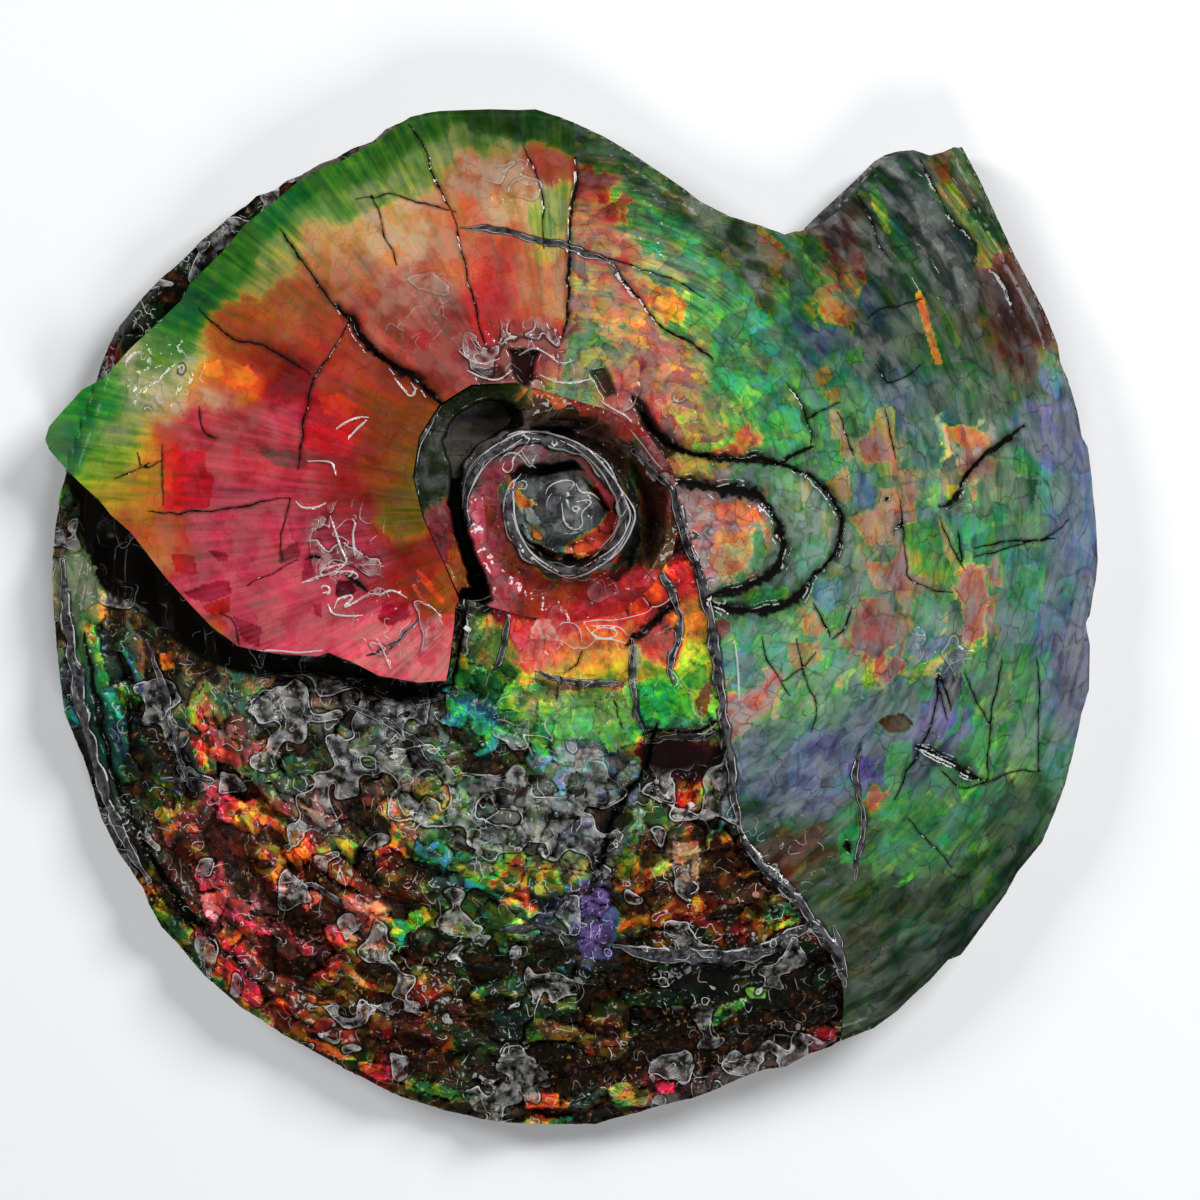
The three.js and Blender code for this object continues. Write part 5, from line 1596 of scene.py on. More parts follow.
            # Sides below the top row are painted black: dark ground in painted shade
            if step > 0:
                side.gap = np.ones_like(z)
            skins.append(side)
            rows.append(total + np.arange(len(rim)))
            total += len(rim)
        walls = []
        for upper, lower in zip(rows[:-1], rows[1:]):
            a, b = upper[flat_edges[:, 0]], upper[flat_edges[:, 1]]
            c, d = lower[flat_edges[:, 1]], lower[flat_edges[:, 0]]
            walls += [np.stack([a, d, c], 1), np.stack([a, c, b], 1)]
        points = np.concatenate(places)
        cap = rows[-1][cap_of(points[rows[-1], :2], flat_edges)]
        faces = np.concatenate([triangles, *walls, cap])
        return make_piece(self.name, points, faces, Skin.joined(skins))


def boundary_of(triangles: Array) -> Array:
    """Edges that only one triangle has, each in that triangle's direction."""
    edges = np.concatenate([triangles[:, [0, 1]], triangles[:, [1, 2]], triangles[:, [2, 0]]])
    size = int(triangles.max()) + 1
    forward = edges[:, 0].astype(np.int64) * size + edges[:, 1]
    backward = edges[:, 1].astype(np.int64) * size + edges[:, 0]
    return edges[~np.isin(forward, backward)]


def outward_of(x: Array, y: Array, edges: Array) -> Array:
    """Outward direction on the plan at each point of a border.

    Args:
        x: Millimetres across of the border points.
        y: Millimetres up of them.
        edges: The border's edges, with the inside on their left.

    Returns:
        One unit direction for each point.
    """
    span = np.stack([x[edges[:, 1]] - x[edges[:, 0]], y[edges[:, 1]] - y[edges[:, 0]]], axis=1)
    outward = np.stack([span[:, 1], -span[:, 0]], axis=1)
    total = np.zeros((len(x), 2))
    np.add.at(total, edges[:, 0], outward)
    np.add.at(total, edges[:, 1], outward)
    return total / np.maximum(np.hypot(total[:, 0], total[:, 1]), 1e-9)[:, None]


def cap_of(points: Array, edges: Array) -> Array:
    """Closes a border from below.

    Args:
        points: The border's points on the plan.
        edges: Its edges, with the inside on their left.

    Returns:
        Triangles between the points, facing down.
    """
    following: dict[int, list[int]] = {}
    for start, end in edges.tolist():
        following.setdefault(start, []).append(end)
    loops = []
    while following:
        start = next(iter(following))
        loop = [start]
        at = start
        while at in following:
            step = following[at].pop()
            if not following[at]:
                del following[at]
            if step == start:
                break
            loop.append(step)
            at = step
        if len(loop) > 2:
            loops.append(loop)
    order = np.array([index for loop in loops for index in loop])
    triangles = tessellate_polygon([[Vector((*points[index], 0.0)) for index in loop] for loop in loops])
    faces = order[np.array(triangles)]
    a, b, c = (points[faces[:, k]] for k in range(3))
    area = (b[:, 0] - a[:, 0]) * (c[:, 1] - a[:, 1]) - (b[:, 1] - a[:, 1]) * (c[:, 0] - a[:, 0])
    faces[area > 0] = faces[area > 0][:, ::-1]
    return faces


def make_piece(name: str, points: Array, faces: Array, skin: Optional[Skin]) -> bpy.types.Object:
    """Makes a mesh object from points in millimetres.

    Args:
        name: The piece's name.
        points: Its points, one row each.
        faces: Its triangles.
        skin: What the surface carries at each point.

    Returns:
        The new object, in metres.
    """
    mesh = bpy.data.meshes.new(name)
    mesh.vertices.add(len(points))
    mesh.vertices.foreach_set("co", (points * MM).astype(np.float32).ravel())
    mesh.loops.add(faces.size)
    mesh.loops.foreach_set("vertex_index", faces.astype(np.int32).ravel())
    mesh.polygons.add(len(faces))
    mesh.polygons.foreach_set("loop_start", np.arange(0, faces.size, 3, dtype=np.int32))
    mesh.update(calc_edges=True)
    mesh.validate()
    mesh.shade_smooth()
    mesh.set_sharp_from_angle(angle=math.radians(52))
    if skin is not None:
        colour_layers = {
            "tint": (skin.film, np.clip(skin.glow, 0, 1.5), skin.cream, skin.slate),
            "breaks": (skin.crack / 3, skin.vein / 3, skin.gap, skin.crush),
            "shards": (
                np.clip(skin.edge, 0, 3) / 3, np.clip(skin.fine_edge, 0, 3) / 3, skin.streak, skin.mosaic
            ),
            "folds": tuple(skin.folds.T),
        }
        for layer, channels in colour_layers.items():
            attribute = mesh.attributes.new(layer, "FLOAT_COLOR", "POINT")
            attribute.data.foreach_set("color", np.stack(channels, axis=1).astype(np.float32).ravel())
        attribute = mesh.attributes.new("flow", "FLOAT_VECTOR", "POINT")
        attribute.data.foreach_set("vector", skin.flow.astype(np.float32).ravel())
        attribute = mesh.attributes.new("chips", "FLOAT", "POINT")
        attribute.data.foreach_set("value", skin.chips.astype(np.float32))
    piece = bpy.data.objects.new(name, mesh)
    bpy.context.scene.collection.objects.link(piece)
    return piece


def dress(piece: bpy.types.Object, material: bpy.types.Material) -> bpy.types.Object:
    """Gives a piece its finish and its place in the frame."""
    if not piece.data.materials:
        piece.data.materials.append(material)
    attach(piece, BODY)
    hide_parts(NODE)
    triangles = sum(len(polygon.vertices) - 2 for polygon in piece.data.polygons)
    LOG.info("%s: %d triangles", piece.name, triangles)
    return piece


def add_node(
    tree: bpy.types.NodeTree, kind: str, inputs: Optional[dict] = None, **settings: object
) -> bpy.types.Node:
    """Adds a node to a tree.

    Args:
        tree: The material's or the scattering tree.
        kind: Blender's name for the node.
        inputs: Values or sockets for its inputs, by name or place.
        settings: Its own settings.

    Returns:
        The new node.
    """
    made = tree.nodes.new(kind)
    for name, value in settings.items():
        setattr(made, name, value)
    for key, value in (inputs or {}).items():
        if isinstance(value, bpy.types.NodeSocket):
            tree.links.new(value, made.inputs[key])
        else:
            made.inputs[key].default_value = value
    return made


class Wiring:
    """Short hand for joining shader nodes."""

    def __init__(self, name: str, flat: bool = False) -> None:
        """Starts an empty material.

        Args:
            name: The material's name.
            flat: Whether its patterns lie on the plan, the same at every height.
        """
        self.material = bpy.data.materials.new(name)
        self.material.use_nodes = True
        self.tree = self.material.node_tree
        self.tree.nodes.clear()
        self.output = self.tree.nodes.new("ShaderNodeOutputMaterial")
        self.room = "2D" if flat else "3D"

    def node(self, kind: str, inputs: Optional[dict] = None, **settings: object) -> bpy.types.Node:
        """Adds a node to the material."""
        return add_node(self.tree, kind, inputs, **settings)

    def math(self, operation: str, a: object, b: object = 0.0, clamp: bool = False) -> bpy.types.NodeSocket:
        """One arithmetic step."""
        return self.node("ShaderNodeMath", {0: a, 1: b}, operation=operation, use_clamp=clamp).outputs[0]

    def times(self, *values: object) -> bpy.types.NodeSocket:
        """The product of some values."""
        product = values[0]
        for value in values[1:]:
            product = self.math("MULTIPLY", product, value)
        return product

    def total(self, *values: object) -> bpy.types.NodeSocket:
        """The sum of some values."""
        added = values[0]
        for value in values[1:]:
            added = self.math("ADD", added, value)
        return added

    def most(self, *values: object) -> bpy.types.NodeSocket:
        """The highest of some values."""
        highest = values[0]
        for value in values[1:]:
            highest = self.math("MAXIMUM", highest, value)
        return highest

    def centred(self, value: object, reach: object) -> bpy.types.NodeSocket:
        """A value from 0 to 1 turned into one that swings about 0."""
        return self.times(self.math("SUBTRACT", value, 0.5), reach)

    def fade(
        self, value: object, low: float, high: float, start: float = 0.0, end: float = 1.0
    ) -> bpy.types.NodeSocket:
        """A smooth step from start to end while value goes from low to high."""
        inputs = {"Value": value, "From Min": low, "From Max": high, "To Min": start, "To Max": end}
        return self.node("ShaderNodeMapRange", inputs, interpolation_type="SMOOTHSTEP").outputs[0]

    def stroke(self, value: object, centre: float, inner: float, outer: float) -> bpy.types.NodeSocket:
        """A soft line where a value is near its centre."""
        away = self.math("ABSOLUTE", self.math("SUBTRACT", value, centre))
        return self.fade(away, inner, outer, 1.0, 0.0)

    def mix(self, share: object, a: object, b: object, blend: str = "MIX") -> bpy.types.NodeSocket:
        """A blend of two colours."""
        made = self.node("ShaderNodeMix", data_type="RGBA", blend_type=blend)
        for socket, value in ((made.inputs[0], share), (made.inputs[6], a), (made.inputs[7], b)):
            if isinstance(value, bpy.types.NodeSocket):
                self.tree.links.new(value, socket)
            else:
                socket.default_value = value
        return made.outputs[2]

    def vector(self, operation: str, a: object, b: object = (0.0, 0.0, 0.0)) -> bpy.types.NodeSocket:
        """One step on vectors."""
        return self.node("ShaderNodeVectorMath", {0: a, 1: b}, operation=operation).outputs[0]

    def noise(self, where: object, size: float, detail: float = 2.0) -> bpy.types.NodeSocket:
        """Noise from 0 to 1 whose lumps have a size in the units of where."""
        inputs = {"Vector": where, "Scale": 1 / size, "Detail": detail}
        return self.node("ShaderNodeTexNoise", inputs, noise_dimensions=self.room).outputs[0]

    def swayed(self, where: object, size: float, reach: float) -> bpy.types.NodeSocket:
        """A place moved about by noise."""
        inputs = {"Vector": where, "Scale": 1 / size, "Detail": 1.0}
        cloud = self.node("ShaderNodeTexNoise", inputs, noise_dimensions=self.room).outputs["Color"]
        centred = self.vector("SUBTRACT", cloud, (0.5, 0.5, 0.5))
        offset = self.vector("MULTIPLY", centred, (reach, reach, reach))
        return self.vector("ADD", where, offset)

    def cells(self, where: object, size: float) -> Sequence[bpy.types.NodeSocket]:
        """Three draws for each cell of a crackle."""
        inputs = {"Vector": where, "Scale": 1 / size}
        made = self.node("ShaderNodeTexVoronoi", inputs, voronoi_dimensions=self.room)
        return self.node("ShaderNodeSeparateColor", {0: made.outputs["Color"]}).outputs

    def walls(self, where: object, size: float) -> bpy.types.NodeSocket:
        """Distance to the nearest wall between the cells of a crackle."""
        made = self.node(
            "ShaderNodeTexVoronoi", {"Vector": where, "Scale": 1 / size}, voronoi_dimensions=self.room,
            feature="DISTANCE_TO_EDGE",
        )
        return self.times(made.outputs["Distance"], size)

    def layer(self, name: str) -> tuple[bpy.types.NodeSocket, ...]:
        """The four channels of one of the mesh's own colour layers."""
        read = self.node("ShaderNodeAttribute", attribute_name=name)
        parts = self.node("ShaderNodeSeparateColor", {"Color": read.outputs["Color"]})
        return parts.outputs[0], parts.outputs[1], parts.outputs[2], read.outputs["Alpha"]

    def millimetres(self) -> bpy.types.NodeSocket:
        """The place on the piece in millimetres."""
        here = self.node("ShaderNodeTexCoord").outputs["Object"]
        return self.vector("MULTIPLY", here, (1 / MM, 1 / MM, 1 / MM))


FILM_STOPS: tuple[tuple[float, tuple[float, float, float]], ...] = (
    (0.00, (0.120, 0.060, 0.300)),
    (0.12, (0.060, 0.080, 0.330)),
    (0.22, (0.030, 0.170, 0.370)),
    (0.34, (0.012, 0.280, 0.210)),
    (0.46, (0.010, 0.290, 0.030)),
    (0.54, (0.100, 0.400, 0.012)),
    (0.60, (0.360, 0.480, 0.020)),
    (0.66, (0.740, 0.470, 0.020)),
    (0.73, (0.800, 0.230, 0.012)),
    (0.80, (0.740, 0.080, 0.008)),
    (0.87, (0.640, 0.012, 0.008)),
    (0.94, (0.500, 0.004, 0.020)),
    (1.00, (0.520, 0.018, 0.065)),
)
# Black of cracks and dark ground, also used as painted shade round cracks, veins and folds and over sunk
# places
DEEP_DARK: Colour = (0.0040, 0.0034, 0.0028, 1.0)
# White of the painted highlights along folds, curls, veins and wrinkles
HIGHLIGHT_WHITE: Colour = (0.62, 0.61, 0.60, 1.0)


@dataclass(frozen=True)
class ShellFinish:
    """Ammolite: an interference film in crackled shell, over black ironstone, under a clear glossy seal."""

    name: str
    crackle: float = 3.0
    fine_crackle: float = 1.3
    crackle_dark: float = 0.5
    cell_hue: float = 0.07
    cell_glow: float = 0.5
    cloud: float = 0.6
    cloud_size: float = 6.0
    curl: float = 0.8
    shard_gap: float = 0.0
    wrinkle: float = 0.04
    tile_length: float = 0.0
    slate_dark: float = 0.014
    slate_light: float = 0.11
    # Least share of a painted grey sheen over the film
    painted_sheen: float = 0.05
    lace: float = 2.6
    milk: Colour = (0.60, 0.50, 0.36, 1.0)
    seal: float = 0.85
    seal_roughness: float = 0.09
    roughness: float = 0.34

    def ramp(self, w: "Wiring", thickness: object) -> bpy.types.NodeSocket:
        """The colour that a film thickness gives."""
        ramp = w.node("ShaderNodeValToRGB", {"Fac": thickness})
        stops = ramp.color_ramp.elements
        while len(stops) < len(FILM_STOPS):
            stops.new(0.5)
        for stop, (position, _) in zip(stops, FILM_STOPS):
            stop.position = position
        for stop, (_, colour) in zip(stops, FILM_STOPS):
            stop.color = (*colour, 1.0)
        return ramp.outputs["Color"]

    def make(self) -> bpy.types.Material:
        """Builds the material.

        Returns:
            The new material.
        """
        w = Wiring(self.name, flat=True)
        here = w.millimetres()
        film, glow, cream, slate = w.layer("tint")
        crack, vein, gap, crush = w.layer("breaks")
        edge, fine_edge, streak, mosaic = w.layer("shards")
        fold, curl, drawn, matrix = w.layer("folds")
        flow = w.node("ShaderNodeAttribute", attribute_name="flow").outputs["Vector"]
        sealed = w.node("ShaderNodeSeparateXYZ", {0: flow}).outputs[2]
        laid = w.vector("MULTIPLY", flow, (1 / self.tile_length, 1.0, 0.0)) if self.tile_length else here
        bent = w.swayed(laid, 3.0, 2.2)

        # Crackle of the shell layer
        draws = w.cells(bent, self.crackle)
        fine_draws = w.cells(bent, self.fine_crackle)
        walls = w.walls(bent, self.crackle)
        patchy = w.fade(w.noise(here, 9.0, 1.0), 0.42, 0.60)
        line = w.times(w.fade(walls, 0.03, 0.13, 1.0, 0.0), patchy)

        # Growth streaks
        streaks = w.noise(w.vector("MULTIPLY", flow, (0.06, 1.0, 0.0)), 1.0, 2.0)
        broad_streaks = w.noise(w.vector("MULTIPLY", flow, (0.10, 1.0, 0.0)), 4.5, 2.0)

        # Film thickness gives the hue
        hue_reach = w.times(mosaic, self.cell_hue)
        thickness = w.total(
            film,
            w.centred(draws[0], hue_reach),
            w.centred(fine_draws[0], hue_reach),
            w.centred(w.noise(here, 4.0, 1.0), 0.06),
            w.centred(streaks, w.times(streak, 0.22)),
        )
        colour = self.ramp(w, thickness)

        # Brightness of the film
        glow_reach = w.times(mosaic, self.cell_glow)
        level = w.total(
            1.0,
            w.centred(draws[1], glow_reach),
            w.centred(fine_draws[1], glow_reach),
            w.centred(w.noise(here, self.cloud_size, 2.0), self.cloud),
            w.centred(streaks, w.times(streak, 2.2)),
            w.centred(broad_streaks, w.times(streak, 1.8)),
        )
        level = w.times(w.most(level, 0.08), glow)
        level_colour = w.node("ShaderNodeCombineXYZ", {0: level, 1: level, 2: level}).outputs[0]
        colour = w.mix(1.0, colour, level_colour, "MULTIPLY")

        # Milky veil and dull slate; a least share of grey all over is a painted sheen
        lace = w.fade(w.noise(bent, self.lace, 3.0), 0.38, 0.60, 0.45, 1.25)
        veil = w.math("MULTIPLY", w.math("POWER", cream, 1.6), lace, clamp=True)
        colour = w.mix(veil, colour, self.milk)
        dull = w.noise(bent, 4.0, 2.0)
        slate_dark = (self.slate_dark, self.slate_dark * 1.08, self.slate_dark * 1.05, 1.0)
        slate_light = (self.slate_light, self.slate_light * 1.05, self.slate_light, 1.0)
        grey = w.mix(w.fade(dull, 0.33, 0.67), slate_dark, slate_light)
        colour = w.mix(w.most(w.math("POWER", slate, 1.2), self.painted_sheen), colour, grey)

        # Brown ground between loose pieces, laid also at the feet of the whorl's terraces as painted shade
        rusty = w.fade(w.noise(here, 3.0, 2.0), 0.52, 0.74)
        ground = w.mix(rusty, (0.0070, 0.0045, 0.0028, 1.0), (0.055, 0.017, 0.004, 1.0))
        golden = w.fade(w.noise(here, 7.0, 1.0), 0.56, 0.66)
        fleck = w.times(w.fade(w.noise(here, 1.3, 1.0), 0.66, 0.72), golden)
        ground = w.mix(w.times(fleck, 0.7), ground, (0.42, 0.23, 0.06, 1.0))
        colour = w.mix(w.times(matrix, 0.96), colour, ground)

        # Grey folds of resin, their grey partly painted sheen, with a painted shadow line under each fold's
        # edge
        reach = w.math("MULTIPLY", w.math("SUBTRACT", crush, 0.28), self.curl * 2.0, clamp=True)
        # The folds' grey runs from near black to light grey: resin colour with a painted sheen
        sheen_share = w.fade(w.noise(here, 3.2, 2.0), 0.38, 0.66)
        grey_resin_sheen = w.mix(sheen_share, (0.011, 0.011, 0.012, 1.0), (0.40, 0.40, 0.39, 1.0))
        folded = w.times(w.fade(fold, -0.05, 0.15), reach, w.fade(fold, 0.3, 2.2, 0.85, 0.45))
        colour = w.mix(folded, colour, grey_resin_sheen)
        # Painted shadow: a dark line just outside each fold's edge
        fold_shadow = w.times(w.stroke(fold, -0.35, 0.10, 0.38), reach, 0.85)
        colour = w.mix(fold_shadow, colour, DEEP_DARK)

        # Cracks, gaps and veins, with painted shade: a dark halo round each crack, a dark rim round each
        # raised vein, and black over sunk places and sides
        # Painted shade: a dark halo round each crack
        crack_shade = w.times(w.fade(crack, 0.35, 0.95, 1.0, 0.0), 0.45)
        colour = w.mix(crack_shade, colour, DEEP_DARK)
        colour = w.mix(w.times(line, self.crackle_dark), colour, DEEP_DARK)
        shard_line = w.times(w.fade(edge, 0.03, 0.16, 1.0, 0.0), self.shard_gap)
        small_line = w.times(w.fade(fine_edge, 0.01, 0.08, 1.0, 0.0), self.shard_gap * 0.6)
        colour = w.mix(w.times(w.most(shard_line, small_line), mosaic), colour, DEEP_DARK)
        resin_share = w.fade(w.noise(here, 2.4, 2.0), 0.3, 0.7)
        resin = w.mix(resin_share, (0.016, 0.016, 0.018, 1.0), (0.090, 0.088, 0.094, 1.0))
        # Painted shadow: a dark rim round each raised vein
        colour = w.mix(w.fade(vein, 0.34, 0.52, 0.9, 0.0), colour, DEEP_DARK)
        colour = w.mix(w.fade(vein, 0.29, 0.35, 1.0, 0.0), colour, resin)
        uneven_crack = w.total(crack, w.centred(w.noise(here, 1.6, 1.0), 0.35))
        crack_share = w.fade(uneven_crack, 0.12, 0.34, 1.0, 0.0)
        # Cracks black; sunk places and plate sides black as dark ground in painted shade
        colour = w.mix(w.most(crack_share, gap), colour, DEEP_DARK)

        # Painted highlights: white edges of the folds and curls, of the raised veins and along the pale
        # wrinkle lines
        calm = w.math("SUBTRACT", 1.0, w.times(gap, 0.8))
        often = w.fade(w.noise(here, 6.0, 1.0), 0.39, 0.47)
        seldom = w.fade(w.noise(here, 4.0, 1.0), 0.53, 0.59)
        curls = w.fade(w.noise(here, 5.0, 1.0), 0.49, 0.55)
        edges = w.most(
            w.times(w.stroke(fold, 0.12, 0.06, 0.20), often),
            w.times(w.stroke(fold, 0.75, 0.03, 0.12), seldom),
            w.times(w.stroke(curl, 0.0, 0.04, 0.14), curls),
            w.times(w.stroke(fold, 1.5, 0.03, 0.10), curls),
        )
        edges = w.times(edges, reach, w.math("SUBTRACT", 1.0, w.times(matrix, 0.75)))
        highlight_stroke = w.fade(drawn, 0.55, 0.95, 1.0, 0.0)
        vein_share = w.fade(w.noise(here, 5.0, 1.0), 0.42, 0.50)
        vein_line = w.times(w.stroke(vein, 0.27, 0.015, 0.04), vein_share, 0.8)
        light = w.times(w.most(w.times(edges, 0.9), vein_line), calm)
        colour = w.mix(w.most(light, w.times(highlight_stroke, 0.85)), colour, HIGHLIGHT_WHITE)

        # Relief finer than the mesh
        wrinkles = w.noise(laid, 2.4, 1.0)
        smoothed = w.math("SUBTRACT", 1.0, w.times(matrix, 0.8))
        height = w.total(
            w.times(edges, 0.08),
            w.times(wrinkles, w.total(w.times(crush, 0.12), self.wrinkle), smoothed),
            w.times(streaks, streak, 0.10),
        )
        bump = w.node("ShaderNodeBump", {"Height": w.times(height, calm), "Strength": 1.0, "Distance": MM})
        bare = w.math("SUBTRACT", 1.0, matrix, clamp=True)
        rough = w.total(self.roughness, w.times(dull, 0.14), w.times(gap, 0.35))
        surface = w.node(
            "ShaderNodeBsdfPrincipled",
            {
                "Base Color": colour,
                "Roughness": rough,
                "Metallic": 0.0,
                "IOR": 1.5,
                "Specular IOR Level": 0.02,
                "Coat Weight": w.times(w.math("SUBTRACT", 1.0, w.times(gap, 0.75)), bare, sealed, self.seal),
                "Coat Roughness": self.seal_roughness,
                "Coat IOR": 1.5,
                "Normal": bump.outputs[0],
                "Coat Normal": bump.outputs[0],
            },
        )
        w.tree.links.new(surface.outputs[0], w.output.inputs["Surface"])
        return w.material


@dataclass(frozen=True)
class IronstoneFinish:
    """Dark ironstone with rusty stains, rough where it broke, under a thin seal."""

    name: str
    seal: float = 0.25
    roughness: float = 0.55

    def make(self) -> bpy.types.Material:
        """Builds the material.

        Returns:
            The new material.
        """
        w = Wiring(self.name)
        here = w.millimetres()
        layers = w.vector("MULTIPLY", here, (0.5, 0.5, 2.2))
        cloud = w.noise(here, 9.0, 5.0)
        bedding = w.noise(layers, 3.0, 4.0)
        grain = w.noise(here, 0.7, 3.0)
        colour = w.mix(w.fade(cloud, 0.35, 0.65), (0.016, 0.013, 0.010, 1.0), (0.060, 0.045, 0.032, 1.0))
        rust = w.fade(w.noise(here, 5.0, 4.0), 0.56, 0.70)
        colour = w.mix(w.math("MULTIPLY", rust, 0.6), colour, (0.115, 0.050, 0.018, 1.0))
        bedded = w.math("MULTIPLY", w.fade(bedding, 0.45, 0.6), 0.4)
        colour = w.mix(bedded, colour, (0.085, 0.078, 0.066, 1.0))
        split = w.fade(w.walls(here, 4.5), 0.0, 0.14, 1.0, 0.0)
        colour = w.mix(w.math("MULTIPLY", split, 0.7), colour, (0.004, 0.003, 0.003, 1.0))
        height = w.math("MULTIPLY", cloud, 0.5)
        for value, scale in ((bedding, 0.45), (grain, 0.10), (split, -0.12)):
            height = w.math("ADD", height, w.math("MULTIPLY", value, scale))
        bump = w.node("ShaderNodeBump", {"Height": height, "Strength": 0.8, "Distance": MM})
        rough = w.math("ADD", self.roughness, w.math("MULTIPLY", grain, 0.25))
        surface = w.node(
            "ShaderNodeBsdfPrincipled",
            {
                "Base Color": colour,
                "Roughness": rough,
                "Coat Weight": self.seal,
                "Coat Roughness": 0.2,
                "Normal": bump.outputs[0],
            },
        )
        w.tree.links.new(surface.outputs[0], w.output.inputs["Surface"])
        return w.material


@dataclass
class IronstoneBase:
    """The ironstone under the shell: its broken side all round and its flat underside."""

    relief: Relief
    step: float = 0.8
    tuck: float = 3.4
    rows: int = 12

    def outline(self) -> Array:
        """The rim's line at an even spacing, anticlockwise."""
        line = from_plan(RIM_ROUTE)
        line = densify(np.vstack([line, line[:1]]), self.step)[:-1]
        area = np.sum(line[:, 0] * np.roll(line[:, 1], -1) - np.roll(line[:, 0], -1) * line[:, 1])
        return line if area > 0 else line[::-1]

    def build(self) -> bpy.types.Object:
        """Builds the closed base.

        Returns:
            The new object.
        """
        line = self.outline()
        count = len(line)
        span = np.roll(line, -2, axis=0) - np.roll(line, 2, axis=0)
        inward = np.stack([-span[:, 1], span[:, 0]], axis=1)
        inward /= np.hypot(inward[:, 0], inward[:, 1])[:, None]
        top = self.relief.rim_top(line[:, 0], line[:, 1])
        shape = [(6.0, top - 2.6), (2.0, top - 1.3), (0.9, top - 1.7)]
        for share in np.linspace(0.0, 1.0, self.rows):
            shape.append((0.35, (top - 2.3) * (1 - share) + 3.6 * share))
        tuck_start = len(shape)
        shape += [(0.8, 2.4 + 0 * top), (1.6, 1.3 + 0 * top), (2.5, 0.5 + 0 * top), (self.tuck, 0 * top)]
        places = []
        for row, (inset, z) in enumerate(shape):
            rough = noise(line[:, 0] + 1.7 * z, line[:, 1] - 1.3 * z, 4.5, 90, 3)
            fine = noise(line[:, 0] * 0.6, line[:, 1] * 0.6 + 5 * z, 1.6, 94, 2)
            is_side = 3 <= row < tuck_start
            push = np.clip(inset + (0.45 * rough + 0.22 * fine if is_side else 0.2 * rough), 0.05, 9)
            spot = line + inward * push[:, None]
            places.append(np.column_stack([spot, z]))
        points = np.concatenate(places)
        faces = []
        ring = np.arange(count)
        after = np.roll(ring, -1)
        for row in range(len(shape) - 1):
            upper = row * count
            lower = upper + count
            faces.append(np.stack([upper + ring, lower + ring, lower + after], 1))
            faces.append(np.stack([upper + ring, lower + after, upper + after], 1))
        edges = np.stack([ring, after], 1)
        bottom = (len(shape) - 1) * count
        faces.append(bottom + cap_of(points[bottom:, :2], edges))
        faces.append(cap_of(points[:count, :2], edges)[:, ::-1])
        return make_piece("ironstone_base", points, np.concatenate(faces), None)


